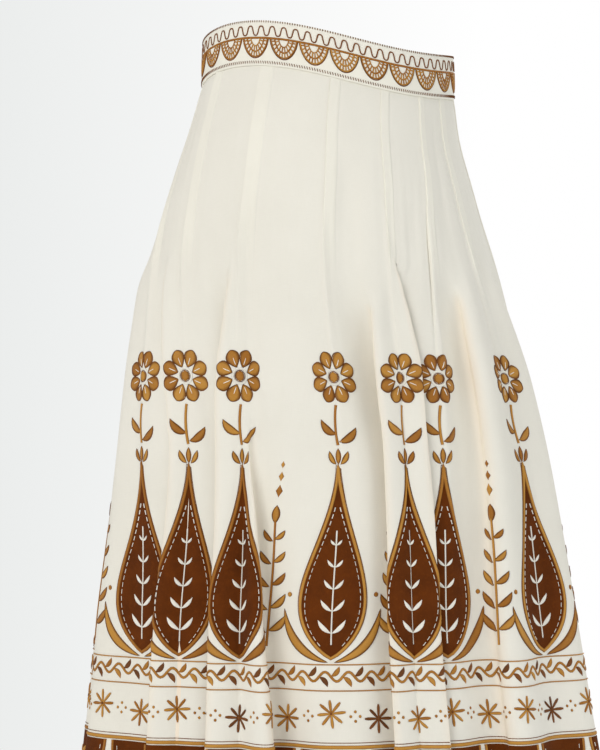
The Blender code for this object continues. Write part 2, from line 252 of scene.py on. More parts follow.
def folded_level(drop):
    """One level of the cloth: fine points between each pleat and the next, laid in folds."""
    bounds = pleat_angles(drop)
    share = np.linspace(0.0, 1.0, SAMPLES_A_PLEAT)
    angle = bounds[:-1, None] + share * np.diff(bounds)[:, None]
    place, along, out = cloth_oval(drop, angle)
    turn = ease(drop, column(FOLDS, "moves"), column(FOLDS, "settles"))
    middle = column(FOLDS, "high") * (1 - turn) + column(FOLDS, "low") * turn
    middle = middle[:, None]
    phase = pi * (2 * share * (1 - middle) / (share * (1 - 2 * middle) + middle) - 1)
    overlap = (np.sin(phase) / 2 + np.sin(2 * phase) / 4) / OVERLAP_PEAK
    rise = FOLD_SLOPE * overlap + (1 - FOLD_SLOPE) * np.sin(phase) ** 3
    rise = rise * (column(FOLDS, "lean") * column(FOLDS, "depth"))[:, None]
    push = rise[..., None] * out - overlap[..., None] * along
    flat = lengths_along(place)[:, -1]
    spare = np.maximum(read(CUT, "width", drop) - flat, 0.0)
    starts = column(FOLDS, "starts")
    wanted = flat + spare * ease(drop, starts, starts + FOLD_GROWTH)
    low = np.zeros(PLEATS)
    high = np.full(PLEATS, WIDEST_FOLD)
    for _ in range(FOLD_SEARCH_STEPS):
        size = (low + high) / 2
        short = lengths_along(place + size[:, None, None] * push)[:, -1] < wanted
        low = np.where(short, size, low)
        high = np.where(short, high, size)
    size = low * ease(drop, starts, starts + FOLD_OPENS)
    return place + size[:, None, None] * push, angle


def seam_gap(drop, seam):
    """Half of the gap at a seam: the back seam stays open beside the zip."""
    closed = SEAM_GAP / 2
    if seam % PLEATS != BACK_SEAM:
        return closed
    return closed + (ZIP_HALF_GAP - closed) * (1 - ease(drop, ZIP_GAP_ENDS, ZIP_GAP_CLOSED))


# The panels: their seams, counted in pleats. A panel stands for the solid of its name, and
# the piece of waistband over it for the solid of that name with waistband_ before it.
Panel = namedtuple("Panel", "name start end")
PANELS = (
    Panel("front", LEFT_SEAM, RIGHT_SEAM),
    Panel("back_left", RIGHT_SEAM, BACK_SEAM),
    Panel("back_right", BACK_SEAM, LEFT_SEAM + PLEATS),
)

HEM = 0.835
HEM_TURN = 0.028
CLOTH_TOP = BAND_HALF_HEIGHT + SEAM_GAP

# The cloth's map: its rows, its columns a pleat, over how many columns its painted fold light and
# its facing are softened, and how far the cloth turns from its oval inside a fold, over which that
# painted light grows.
MAP_ROWS = 262
MAP_COLUMNS = 120
PAINTED_LIGHT_REACH = 8
PAINTED_LIGHT_TURN = (0.25, 1.0)
FACING_REACH = 5

# The cloth's mesh: its rows, and its columns beside and between the pleats.
SHELL_ROWS = 127
TUCK_FRONT = (0.0, 0.0007)
TUCK_BACK = (0.0162, 0.0173)
TUCK_SHADE = (0.0164, 0.0176)
TUCK_COLUMNS = (*TUCK_FRONT, 0.003, 0.0065, 0.0100, 0.0135, *TUCK_BACK)
OPEN_COLUMNS = 38
LAST_COLUMNS = (0.0013, 0.0006)
SEAM_COLUMNS = 3
SEAM_COLUMNS_CLEAR = 0.012

# The waistband's mesh, and the low waves in it.
BAND_HEIGHT = 2 * BAND_HALF_HEIGHT
BAND_ROUNDING = 0.0016
BAND_COLUMN = 0.0022
BAND_WAVES = 31

# Creases pressed or pulled into the cloth: where each starts and ends, how deep (out is plus)
# and how wide it is.
Crease = namedtuple("Crease", "mark_high mark_low high low depth width")
CREASES = (
    Crease(0.52, 0.70, 0.030, 0.150, -0.0008, 0.010),
    Crease(1.05, 0.98, 0.150, 0.330, 0.0016, 0.004),
    Crease(1.18, 1.24, 0.155, 0.310, -0.0014, 0.010),
    Crease(1.62, 1.52, 0.040, 0.150, -0.0007, 0.009),
    Crease(2.02, 1.98, 0.150, 0.360, 0.0016, 0.004),
    Crease(2.15, 2.20, 0.155, 0.340, -0.0018, 0.010),
    Crease(2.60, 2.52, 0.180, 0.420, -0.0010, 0.012),
    Crease(3.01, 3.00, 0.145, 0.420, 0.0018, 0.004),
    Crease(3.14, 3.10, 0.150, 0.400, -0.0026, 0.011),
    Crease(3.60, 3.50, 0.200, 0.480, 0.0010, 0.020),
    Crease(4.01, 4.03, 0.145, 0.400, 0.0018, 0.0035),
    Crease(4.17, 4.24, 0.150, 0.340, -0.0022, 0.013),
    Crease(4.38, 4.42, 0.100, 0.340, -0.0042, 0.020),
    Crease(5.00, 5.02, 0.145, 0.280, 0.0014, 0.004),
    Crease(5.00, 4.99, 0.260, 0.780, 0.0030, 0.011),
    Crease(5.62, 5.50, 0.120, 0.420, -0.0014, 0.014),
    Crease(6.00, 6.00, 0.152, 0.260, -0.0020, 0.0016),
    Crease(6.06, 6.04, 0.150, 0.430, 0.0012, 0.0045),
    Crease(6.60, 6.42, 0.050, 0.170, -0.0008, 0.010),
    Crease(7.02, 7.04, 0.150, 0.420, 0.0018, 0.0045),
    Crease(7.18, 7.26, 0.155, 0.440, -0.0022, 0.014),
    Crease(7.50, 7.62, 0.190, 0.460, -0.0010, 0.013),
    Crease(8.02, 7.98, 0.150, 0.360, 0.0015, 0.004),
    Crease(8.18, 8.12, 0.155, 0.340, -0.0016, 0.011),
    Crease(8.60, 8.46, 0.060, 0.190, -0.0008, 0.010),
    Crease(9.02, 9.06, 0.150, 0.380, 0.0016, 0.004),
    Crease(9.17, 9.25, 0.155, 0.360, -0.0018, 0.012),
    Crease(9.40, 9.56, 0.240, 0.500, -0.0010, 0.014),
    Crease(10.01, 9.97, 0.150, 0.350, 0.0015, 0.004),
    Crease(10.70, 10.55, 0.200, 0.430, -0.0010, 0.012),
    Crease(11.02, 11.06, 0.150, 0.370, 0.0016, 0.004),
    Crease(11.16, 11.22, 0.155, 0.330, -0.0014, 0.010),
    Crease(12.01, 12.00, 0.150, 0.360, 0.0016, 0.004),
    Crease(12.17, 12.12, 0.155, 0.350, -0.0017, 0.011),
    Crease(12.40, 12.56, 0.180, 0.420, -0.0010, 0.013),
    Crease(13.01, 12.96, 0.150, 0.350, 0.0015, 0.004),
    Crease(13.16, 13.22, 0.155, 0.330, -0.0016, 0.011),
    Crease(13.60, 13.44, 0.260, 0.520, -0.0010, 0.014),
    Crease(14.02, 14.00, 0.150, 0.340, 0.0014, 0.004),
)
CREASE_FADE = 0.05
SWELLS_START = (0.02, 0.16)
PUCKERS_A_PLEAT = 19
STITCH_DEPTH = 0.0004

# The seams' grooves: how far beside the seam each lies, how deep and how wide it is.
SEAM_GROOVES = ((0.0, 0.0005, 0.0012), (-0.006, 0.00015, 0.0010), (0.006, 0.00015, 0.0010))


def circular(mark, other):
    """The distance between marks, in pleats, the short way round."""
    return (mark - other + PLEATS / 2) % PLEATS - PLEATS / 2


def ripples(mark, drop):
    """Low uneven swells of the cloth, which meet themselves after a full turn."""
    draw = np.random.default_rng(11)
    total = np.zeros(np.broadcast(mark, drop).shape)
    for _ in range(18):
        waves = int(draw.integers(14, 78))
        slope = draw.uniform(-16, 16)
        phase = draw.uniform(0, 2 * pi)
        size = draw.uniform(0.4, 1.0) * 26 / (26 + waves)
        total = total + size * np.sin(2 * pi * waves * mark / PLEATS + slope * drop + phase)
    return total / 3.2


def relief(mark, drop, width, settings):
    """How far the cloth stands out of the plain folds: tucks, creases, swells, seams and hem."""
    across = (mark % 1) * width
    held = 1 - ease(drop, TUCK_ENDS, TUCK_ENDS + TUCK_FADE)
    edge = ease(across, *TUCK_FRONT) * (1 - 0.45 * ease(across, 0.001, 0.014))
    total = settings.tuck_rise * held * edge * (1 - ease(across, *TUCK_BACK))
    for crease in CREASES:
        share = np.clip((drop - crease.high) / (crease.low - crease.high), 0, 1)
        line = crease.mark_high + (crease.mark_low - crease.mark_high) * share
        shown = ease(drop, crease.high - CREASE_FADE / 2, crease.high + CREASE_FADE / 2)
        shown = shown * (1 - ease(drop, crease.low - CREASE_FADE, crease.low + CREASE_FADE))
        total = total + crease.depth * hump(circular(mark, line) * width, crease.width) * shown
    total = total + settings.ripple * ripples(mark, drop) * ease(drop, *SWELLS_START)
    for seam in (LEFT_SEAM, RIGHT_SEAM, BACK_SEAM):
        for side, depth, reach in SEAM_GROOVES:
            total = total - depth * hump(circular(mark, seam) * width - side, reach)
    puckers = 1 + 0.6 * np.sin(2 * pi * mark * PUCKERS_A_PLEAT)
    total = total - STITCH_DEPTH * puckers * hump(drop - CLOTH_TOP, 0.004)
    turned = drop - (HEM - HEM_TURN)
    return total + 0.0002 * ease(turned, -0.0008, 0.0008) - STITCH_DEPTH * hump(turned, 0.0016)


def outward(points):
    """The outward directions of a grid of points, rows from the top and columns to the right."""
    return unit(np.cross(np.gradient(points, axis=0), np.gradient(points, axis=1)))


def smooth_level(drop, marks):
    """The points of one level at these marks, and their angles."""
    points, angles = folded_level(drop)
    found = np.zeros((len(marks), 3))
    pleats = np.floor(marks + 1e-9).astype(int)
    for pleat in np.unique(pleats):
        here = pleats == pleat
        own = pleat % PLEATS
        along = lengths_along(points[own])
        wanted = (marks[here] - pleat) * along[-1]
        for axis, values in enumerate((*points[own].T, angles[own])):
            found[here, axis] = np.interp(wanted, along, values)
        found[here, 2] += 2 * pi * (pleat // PLEATS)
    return found[:, :2], found[:, 2]


def blended(table, row, column):
    """A table over a grid, read between its entries at fractional rows and columns."""
    rows, columns = table.shape[:2]
    r = np.clip(row.astype(int), 0, rows - 2)
    c = np.clip(column.astype(int), 0, columns - 2)
    y = (row - r)[..., None]
    x = (column - c)[..., None]
    top = table[r, c] * (1 - x) + table[r, c + 1] * x
    low = table[r + 1, c] * (1 - x) + table[r + 1, c + 1] * x
    return top * (1 - y) + low * y


def softened(table, reach):
    """A table whose columns go round the skirt, each blended with the nearest on both sides."""
    steps = range(-reach, reach + 1)
    return sum(np.roll(table, step, axis=1) for step in steps) / len(steps)


class Grid:
    """A surface given by a grid of points, rows from the top and columns to the right."""

    def __init__(self, points, margin=0):
        inside = slice(margin, points.shape[1] - margin)
        self.points = points[:, inside]
        self.normals = outward(points)[:, inside]

    def look(self, row, column):
        """The points and outward directions at these fractional rows and columns."""
        return blended(self.points, row, column), unit(blended(self.normals, row, column))


class SkirtSurface:
    """The folded cloth, looked up by a mark counted in pleats and a drop below the waist."""

    def __init__(self, settings):
        self.drops = np.linspace(CLOTH_TOP, HEM, MAP_ROWS)
        marks = np.arange(-1, PLEATS * MAP_COLUMNS + 2) / MAP_COLUMNS
        rows = []
        painted_fold_lights = []
        for drop in self.drops:
            flat, angle = smooth_level(drop, marks)
            rows.append(lifted(flat, drop, angle))
            # Painted light: the warm tint of light passing through and between the layers grows
            # where the cloth turns from its oval inside a fold.
            straight = (unit(np.gradient(flat, axis=0)) * cloth_oval(drop, angle)[1]).sum(axis=1)
            painted_fold_lights.append(ease(1 - straight, *PAINTED_LIGHT_TURN))
        plain = np.array(rows)
        out = unit(softened(outward(plain), FACING_REACH))
        self.widths = np.array([read(CUT, "width", drop) for drop in self.drops])
        rise = relief(marks[None], self.drops[:, None], self.widths[:, None], settings)
        self.grid = Grid(plain + out * rise[..., None], margin=1)
        self.facing = out[:, 1:-1]
        self.painted_fold_lights = softened(np.array(painted_fold_lights), PAINTED_LIGHT_REACH)[:, 1:-1, None]

    def spot(self, mark, drop):
        """The row and column of a place, as fractions."""
        row = index_of(np.clip(drop, CLOTH_TOP, HEM), CLOTH_TOP, HEM, MAP_ROWS)
        return row, (mark % PLEATS) * MAP_COLUMNS

    def at_marks(self, mark, drop):
        return self.grid.look(*self.spot(mark, drop))

    def folds(self, mark, drop):
        """Which way the cloth faces about a place, and how far it lies in a fold, from 0 to 1: the
        share of its painted fold light.
        """
        spot = self.spot(mark, drop)
        return unit(blended(self.facing, *spot)), blended(self.painted_fold_lights, *spot)[..., 0]

    def at(self, base, right, down):
        """The cloth this far right of a base mark and this far below the waist."""
        return self.at_marks(base + right / np.interp(down, self.drops, self.widths), down)


class BorderSurface:
    """The same cloth for lines that run round it, whose marks are stretched to metres."""

    def __init__(self, skirt):
        self.skirt = skirt

    def at(self, base, right, down):
        return self.skirt.at_marks(base + right / BORDER_METRIC, down)


class BandSurface:
    """The waistband's outer face, looked up by the way round it and the way down from its top."""

    def __init__(self, settings):
        self.swell = settings.band_swell
        self.angles = np.linspace(-pi, 3 * pi, 2881)
        self.along = lengths_along(band_oval(0.0, self.angles)[0])
        self.round = self.along[-1] / 2
        self.start = np.interp(0.0, self.angles, self.along)

    def reach(self, angle):
        return np.interp(angle, self.angles, self.along) - self.start

    def at(self, base, right, down):
        angle = np.interp(base + right + self.start, self.along, self.angles)
        drop = down - BAND_HALF_HEIGHT
        place, _, out = band_oval(drop, angle)
        middle = np.sin(pi * np.clip(down / BAND_HEIGHT, 0, 1))
        waves = np.sin(BAND_WAVES * angle + 1.7 * np.sin(3 * angle))
        crown = self.swell * middle**0.5 + 0.00012 * waves * middle
        point = np.concatenate([place, height(drop, angle)[..., None]], -1)
        normal = unit(np.concatenate([out, np.full(angle.shape + (1,), BAND_FLARE)], -1))
        return point + normal * crown[..., None], normal


def new_mesh(name, points, faces, uvs, attributes, material, sharp=None):
    """A mesh object at the origin, with a UV and the attributes' values for each of its points."""
    mesh = bpy.data.meshes.new(name)
    mesh.from_pydata(points.tolist(), [], faces.tolist())
    layer = mesh.uv_layers.new(name="UVMap")
    corners = np.zeros(len(mesh.loops), dtype=np.int32)
    mesh.loops.foreach_get("vertex_index", corners)
    layer.data.foreach_set("uv", uvs[corners].astype(np.float32).ravel())
    for key, values in attributes.items():
        made = mesh.attributes.new(key, "FLOAT", "POINT")
        made.data.foreach_set("value", values.astype(np.float32))
    mesh.shade_smooth()
    if sharp:
        mesh.set_sharp_from_angle(angle=radians(sharp))
    mesh.materials.append(material)
    piece = bpy.data.objects.new(name, mesh)
    bpy.context.scene.collection.objects.link(piece)
    return piece


def grid_faces(rows, columns, offset=0, flip=False):
    """Faces of a grid whose rows go down and columns to the right, seen from outside."""
    a = (np.arange(rows - 1)[:, None] * columns + np.arange(columns - 1)).ravel() + offset
    turn = -1 if flip else 1
    return np.column_stack([a, *(a + columns, a + columns + 1, a + 1)[::turn]])


def shell(name, outer, inner, uvs, attributes, material):
    """A closed thin cloth from the grids of its two sides."""
    rows, columns = outer.shape[:2]
    inside = rows * columns
    index = np.arange(inside).reshape(rows, columns)
    rim = np.concatenate([index[0, :-1], index[:-1, -1], index[-1, :0:-1], index[:0:-1, 0]])
    after = np.roll(rim, -1)
    faces = [
        grid_faces(rows, columns),
        grid_faces(rows, columns, inside, flip=True),
        np.column_stack([rim, after, after + inside, rim + inside]),
    ]
    points = np.concatenate([outer.reshape(-1, 3), inner.reshape(-1, 3)])
    uvs = np.concatenate([uvs.reshape(-1, 2)] * 2)
    both = {key: np.concatenate([values.ravel()] * 2) for key, values in attributes.items()}
    return new_mesh(name, points, np.concatenate(faces), uvs, both, material, 50)


def own_piece(piece, slot, node=None):
    """The piece rides on the skirt, and stands for a solid where told; its slot is not used."""
    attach(piece, BODY)
    if node:
        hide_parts(node)
    return piece


# Materials.


def arithmetic(operation, swapped=False):
    """An operator between a socket and a socket or a number, on either side of it."""

    def apply(self, other):
        pair = (other, self) if swapped else (self, other)
        return self.graph.maths(operation, *pair)

    return apply


class Value:
    """A socket in a material: an expression on it adds its maths nodes."""

    def __init__(self, graph, socket):
        self.graph = graph
        self.socket = socket

    __add__ = __radd__ = arithmetic("ADD")
    __sub__ = arithmetic("SUBTRACT")
    __rsub__ = arithmetic("SUBTRACT", swapped=True)
    __mul__ = __rmul__ = arithmetic("MULTIPLY")

    def __abs__(self):
        return self.graph.maths("ABSOLUTE", self)

    def sine(self):
        return self.graph.maths("SINE", self)

    def output(self, name):
        """Another output of the same node."""
        return Value(self.graph, self.socket.node.outputs[name])

    def step(self, low, high):
        """0 under low, 1 over high, and a smooth step between."""
        inputs = {"Value": self, "From Min": low, "From Max": high}
        return self.graph.add(
            "ShaderNodeMapRange", inputs, "Result", interpolation_type="SMOOTHSTEP"
        )


class Graph:
    """A node tree in the making."""

    def __init__(self, tree):
        self.tree = tree
        tree.nodes.clear()

    def add(self, kind, inputs=None, output=0, **settings):
        """A node of this kind, with its settings and then its sockets, and one of its outputs."""
        node = self.tree.nodes.new(kind)
        for key, value in settings.items():
            setattr(node, key, value)
        for key, value in (inputs or {}).items():
            self.feed(node.inputs[key], value)
        return Value(self, node.outputs[output]) if node.outputs else None

    def feed(self, socket, value):
        if isinstance(value, Value):
            self.tree.links.new(value.socket, socket)
        elif socket.type == "RGBA":
            socket.default_value = (*value, 1.0)
        else:
            socket.default_value = value

    def maths(self, operation, *values):
        return self.add("ShaderNodeMath", dict(enumerate(values)), operation=operation)

    def mix(self, share, first, second):
        """A blend of two colours."""
        return self.add("ShaderNodeMix", {0: share, 6: first, 7: second}, 2, data_type="RGBA")


class Finish(Graph):
    """A material in the making."""

    def __init__(self, name):
        self.material = bpy.data.materials.get(name) or bpy.data.materials.new(name)
        self.material.use_nodes = True
        super().__init__(self.material.node_tree)

    def uv(self):
        """The piece's own UV map, and its two coordinates."""
        place = self.add("ShaderNodeUVMap", uv_map="UVMap")
        first = self.add("ShaderNodeSeparateXYZ", {"Vector": place})
        return place, first, first.output("Y")

    def place(self):
        return self.add("ShaderNodeTexCoord", output="Object")

    def stretched(self, vector, scale):
        return self.add("ShaderNodeMapping", {"Vector": vector, "Scale": scale})

    def noise(self, vector, scale, detail=2.0, roughness=0.5):
        inputs = {"Vector": vector, "Scale": scale, "Detail": detail, "Roughness": roughness}
        return self.add("ShaderNodeTexNoise", inputs)

    def attribute(self, name):
        return self.add("ShaderNodeAttribute", output="Fac", attribute_name=name)

    def bump(self, height, distance, strength=1.0):
        inputs = {"Height": height, "Distance": distance, "Strength": strength}
        return self.add("ShaderNodeBump", inputs)

    def surface(self, **inputs):
        """The finished material: its surface shader takes these inputs."""
        named = {key.replace("_", " "): value for key, value in inputs.items()}
        shader = self.add("ShaderNodeBsdfPrincipled", named)
        self.add("ShaderNodeOutputMaterial", {"Surface": shader})
        return self.material


def scaled(colour, share):
    return tuple(channel * share for channel in colour)


def striped(coordinate, pitch):
    """A sine that comes back after each pitch of a coordinate in metres."""
    return (coordinate * (2 * pi / pitch)).sine()


def weave(finish, pitch, mottled):
    """The height of a plain weave with uneven threads, and its slubs."""
    vector, across, down = finish.uv()
    warp = striped(across, pitch)
    weft = striped(down, pitch)
    grain = finish.noise(finish.stretched(vector, (1500.0, 90.0, 1.0)), 1.0)
    cross = finish.noise(finish.stretched(vector, (90.0, 1500.0, 1.0)), 1.0)
    slubs = (grain + cross - 1.0) * mottled
    return (warp * weft) * 0.5 + slubs, slubs


def cotton(settings):
    finish = Finish("cream cotton")
    layers = finish.attribute("layers")
    height_map, slubs = weave(finish, settings.weave, 1.6)
    blotch = finish.noise(finish.place(), 7.0, 3.0)
    worn = finish.noise(finish.place(), 42.0, 2.0)
    # Painted shade: the single cloth is greyer than the double, as the shade behind one layer
    # shows through it.
    cloth = finish.mix(layers, settings.single, settings.double)
    shade = finish.mix(blotch.step(0.35, 0.7) * 0.5, cloth, settings.shadow)
    tint = (slubs * 0.10 + (worn - 0.5) * 0.10 + 0.05).step(-0.08, 0.2) * 0.35
    raised = finish.mix(tint, shade, settings.light)
    # Painted light: the cloth deep in a fold takes a warm tint, as light passing through and
    # between its layers would give it.
    colour = finish.mix(finish.attribute("hollow") * 0.75, raised, settings.hollow)
    return finish.surface(
        Base_Color=colour,
        Roughness=0.82 + (worn - 0.5) * 0.10,
        Normal=finish.bump(height_map, settings.weave_depth, 0.5),
        Sheen_Weight=0.12,
        Sheen_Roughness=0.5,
        Specular_IOR_Level=0.25,
    )


def band_cotton(settings):
    finish = Finish("band cotton")
    height_map, slubs = weave(finish, settings.weave, 1.4)
    blotch = finish.noise(finish.place(), 16.0, 3.0)
    colour = finish.mix(blotch.step(0.3, 0.7) * 0.5, settings.double, settings.single)
    colour = finish.mix((slubs + 0.5).step(0.2, 1.0) * 0.25, colour, settings.light)
    return finish.surface(
        Base_Color=colour,
        Roughness=0.85 + slubs * 0.05,
        Normal=finish.bump(height_map, settings.weave_depth, 0.6),
        Sheen_Weight=0.12,
        Specular_IOR_Level=0.25,
    )


def satin(name, colour, light, edge, painted_rim_share, gloss):
    """Satin stitch: threads lie side by side across the line; painted shade darkens its edges and
    the grooves between threads, and a lighter colour, partly painted sheen and partly random tone,
    is mixed in.
    """
    finish = Finish(name)
    vector, along, across = finish.uv()
    tone = finish.attribute("tone")
    threads = striped(along, THREAD_PITCH)
    uneven = finish.noise(finish.stretched(vector, (2200.0, 2.0, 1.0)), 1.0)
    cloudy = finish.noise(finish.place(), 60.0)
    # Painted shade: the rim darkens where the rounded stitch turns from the light; on the golden
    # stitch it also stands for part of its dark outline.
    rim = abs(across * 2.0 - 1.0).step(0.45, 0.95)
    # The lighter colour comes in by each stroke's tone and the noise: partly random tone of the
    # thread, partly painted sheen.
    tone_and_painted_sheen = (tone * 0.55 + uneven * 0.35 + cloudy * 0.45).step(0.35, 1.0)
    body = finish.mix(tone_and_painted_sheen, colour, light)
    shaded = finish.mix(rim * painted_rim_share, body, edge)
    # Painted shade in the grooves between the threads.
    with_painted_groove_shade = finish.mix((0.5 - threads * 0.5) * 0.30, shaded, edge)
    return finish.surface(
        Base_Color=with_painted_groove_shade,
        Roughness=gloss + (uneven - 0.5) * 0.12,
        Normal=finish.bump(threads * 0.35 + uneven * 0.9, 0.00018, 0.55),
        Sheen_Weight=0.03,
        Specular_IOR_Level=0.22,
    )


def brown_cotton(settings):
    finish = Finish("brown cotton")
    height_map, slubs = weave(finish, 0.00045, 1.5)
    blotch = finish.noise(finish.place(), 55.0, 3.0)
    fine = finish.noise(finish.place(), 260.0, 2.0)
    brown = tuple(settings.brown)
    colour = finish.mix(blotch.step(0.3, 0.75), brown, scaled(brown, 1.35))
    colour = finish.mix(fine.step(0.5, 0.8) * 0.4, colour, scaled(brown, 1.8))
    return finish.surface(
        Base_Color=colour,
        Roughness=0.85 + slubs * 0.06,
        Normal=finish.bump(height_map, 0.0002, 0.6),
        Sheen_Weight=0.02,
        Specular_IOR_Level=0.12,
    )


def tape_cotton(settings):
    finish = Finish("woven tape")
    _, across, down = finish.uv()
    rate = 2 * pi / RIB_PITCH
    ribs = (across * rate + striped(down, RIB_PITCH) * 0.6).sine()
    colour = finish.mix((ribs * 0.5 + 0.5) * 0.35, settings.double, settings.shadow)
    return finish.surface(
        Base_Color=colour,
        Roughness=0.75 + ribs * 0.05,
        Normal=finish.bump(ribs, 0.0002, 0.7),
    )


def coil_plastic(settings):
    finish = Finish("zip coil")
    dust = finish.noise(finish.place(), 900.0, 2.0)
    colour = finish.mix(dust, settings.coil, scaled(settings.coil, 0.82))
    return finish.surface(
        Base_Color=colour,
        Roughness=0.42 + (dust - 0.5) * 0.2,
        Normal=finish.bump(dust, 0.00005, 0.4),
    )


def zip_metal(settings):
    finish = Finish("antique brass")
    place = finish.place()
    rubbed = finish.noise(place, 520.0, 4.0, 0.65)
    scratched = finish.noise(finish.stretched(place, (3000.0, 300.0, 200.0)), 1.0, 3.0)
    metal = tuple(settings.metal)
    colour = finish.mix(rubbed.step(0.35, 0.7), metal, scaled(metal, 0.45))
    return finish.surface(
        Base_Color=colour,
        Metallic=1.0,
        Roughness=0.24 + rubbed * 0.22,
        Normal=finish.bump(scratched + rubbed, 0.00004, 0.5),
    )


# Needlework: the sections of its lines, how far their edges lie under the cloth, the share of
# the width from which they have their full height, the width of a point, how far patches and
# satin stitch stand out, and the distances between stitches, threads and ribs.

Profile = namedtuple("Profile", "across rise")
SATIN = Profile((-1.0, -0.62, 0.0, 0.62, 1.0), (0.0, 0.8, 1.0, 0.8, 0.0))
THREAD = Profile((-1.0, 0.0, 1.0), (0.0, 1.0, 0.0))
EDGE_UNDER = -0.00012
FULL_FROM = 0.7
POINTED = 0.0003
PATCH_RISE = 0.0005
SATIN_RISE = 0.0009
RUNNING_GAP = 0.0022
THREAD_PITCH = 0.00055
RIB_PITCH = 0.0011


def patch_profile(columns):
    """A flat piece of cloth sewn on: level inside, down at its edges, finest at its middle."""
    even = np.linspace(-0.985, 0.985, columns)
    inner = sorted((*even, -0.06, -0.03, 0.03, 0.06))
    return Profile((-1.0, *inner, 1.0), (0.0, *([1.0] * len(inner)), 0.0))


def crosswise(path, closed=False):
    """The direction across a flat path at each of its points."""
    if closed:
        ahead = np.roll(path, -1, 0) - np.roll(path, 1, 0)
    else:
        ahead = np.gradient(path, axis=0)
    ahead = ahead / np.maximum(np.linalg.norm(ahead, axis=1, keepdims=True), 1e-9)
    return np.stack([-ahead[:, 1], ahead[:, 0]], -1)


class Needlework:
    """Raised stitches and patches, drawn flat and laid on a surface, by thread."""

    def __init__(self, surface, seed):
        self.surface = surface
        self.base = 0.0
        self.work = {}
        self.draw = np.random.default_rng(seed)

    def places(self, panel, offset, each=1):
        """Move to each mark on a panel that lies this far after a pleat, or a part of one."""
        for step in range(int(np.ceil(panel.end)) * each + 1):
            self.base = step / each + offset
            if panel.start <= self.base < panel.end:
                yield self.base

    def line(self, thread, path, width, rise=SATIN_RISE, profile=SATIN, closed=False, lift=0.0):
        """A line of stitches along a path, as wide as told at each of its points."""
        path = np.asarray(path, float)
        half = np.broadcast_to(np.asarray(width, float) / 2, len(path))
        across = np.array(profile.across)
        raised = np.array(profile.rise)
        reach = (half[:, None] * across)[..., None]
        spots = path[:, None] + crosswise(path, closed)[:, None] * reach
        full = np.clip(half / (FULL_FROM * half.max()), 0, 1)
        height_map = raised * (lift + rise * full[:, None]) + (1 - raised) * EDGE_UNDER
        point, normal = self.surface.at(self.base, spots[..., 0], spots[..., 1])
        point = point + normal * height_map[..., None]
        along = lengths_along(path)
        if closed:
            point = np.concatenate([point, point[:1]])
            along = np.append(along, along[-1] + np.linalg.norm(path[0] - path[-1]))
        along = along + self.draw.uniform(0, 0.01)
        uv = np.stack(np.broadcast_arrays(along[:, None], (across + 1) / 2), -1)
        tone = np.full(point.shape[:2], self.draw.uniform(0, 1))
        self.work.setdefault(thread, []).append((point, uv, tone))

    def patch(self, spine, width, columns):
        """A sewn-on shape of brown cotton, whose UVs are in metres along and across its spine."""
        self.line("brown", spine, width, PATCH_RISE, patch_profile(columns))
        uv = self.work["brown"][-1][1]
        uv[..., 1] = (uv[..., 1] - 0.5) * np.asarray(width)[:, None]

    def leaf(self, start, end, bow, width, points=9, rise=SATIN_RISE):
        """A leaf filled with golden satin stitch, with a dark line round it."""
        spine = bent(start, end, bow, points)
        self.filled(spine, leaf_width(points, width), 0.0009, rise, rise * 0.75)

    def filled(self, spine, widths, edge, rise=SATIN_RISE, edge_rise=0.0008):
        """A golden shape about a spine, with a dark line round it."""
        self.line("golden", spine, widths, rise)
        self.line("dark", outline(spine, widths), edge, edge_rise, THREAD, closed=True)

    def dot(self, thread, centre, radius, rise=SATIN_RISE, lift=0.0):
        """A small round knot of satin stitch."""
        x, y = centre
        share = np.linspace(-1, 1, 7)
        width = np.maximum(2 * radius * np.sqrt(1 - share**2), POINTED)
        self.line(thread, bent((x, y - radius), (x, y + radius), 0, 7), width, rise, lift=lift)

    def running(self, path, stitch):
        """Short ivory stitches one after another along a path on a sewn-on shape."""
        along = lengths_along(path)
        count = max(int(along[-1] / (stitch + RUNNING_GAP)), 1)
        for first in np.arange(count) * (along[-1] / count):
            reach = np.linspace(first, first + stitch, 3)
            spots = np.stack([np.interp(reach, along, values) for values in path.T], -1)
            self.line("white", spots, 0.0012, 0.0005, THREAD, lift=PATCH_RISE)

    def finish(self, name, finishes):
        """One piece for each thread used."""
        made = []
        for thread, lines in self.work.items():
            material, slot = finishes[thread]
            faces = []
            count = 0
            for point, _, _ in lines:
                faces.append(grid_faces(*point.shape[:2], count, flip=True))
                count += point.shape[0] * point.shape[1]
            points, uvs, tones = (
                np.concatenate([line[part].reshape(-1, size) for line in lines])
                for part, size in enumerate((3, 2, 1))
            )
            tone = {"tone": tones.ravel()}
            faces = np.concatenate(faces)
            piece = new_mesh(f"{name}_{thread}", points, faces, uvs, tone, material)
            made.append(own_piece(piece, slot))
        return made


def bent(start, end, bow, points):
    """A curve from start to end that bows to one side by this share of its length."""
    start = np.array(start, float)
    line = np.array(end, float) - start
    share = np.linspace(0, 1, points)[:, None]
    side = np.array([-line[1], line[0]])
    return start + line * share + side * bow * 4 * share * (1 - share)


def away(centre, turn, reach):
    """The place this far from a centre, in a direction that is turned from straight up."""
    return centre[0] + reach * sin(turn), centre[1] - reach * cos(turn)


def leaf_width(points, width):
    """Widths of a pointed leaf along its spine."""
    share = np.linspace(0.0, 1.0, points)
    return np.maximum(width * np.sin(pi * share) ** 0.85, 0.0002)


def sides(spine, width):
    """The two edges of a shape of these widths about a spine."""
    side = crosswise(spine) * (np.asarray(width) / 2)[:, None]
    return spine + side, spine - side


def outline(spine, width):
    """The closed line round a shape of these widths about a spine."""
    one, other = sides(spine, width)
    return np.concatenate([one, other[-2:0:-1]])


def ring(centre, radius, points):
    turn = np.linspace(0, 2 * pi, points, endpoint=False)
    return np.stack([centre[0] + radius * np.cos(turn), centre[1] + radius * np.sin(turn)], -1)


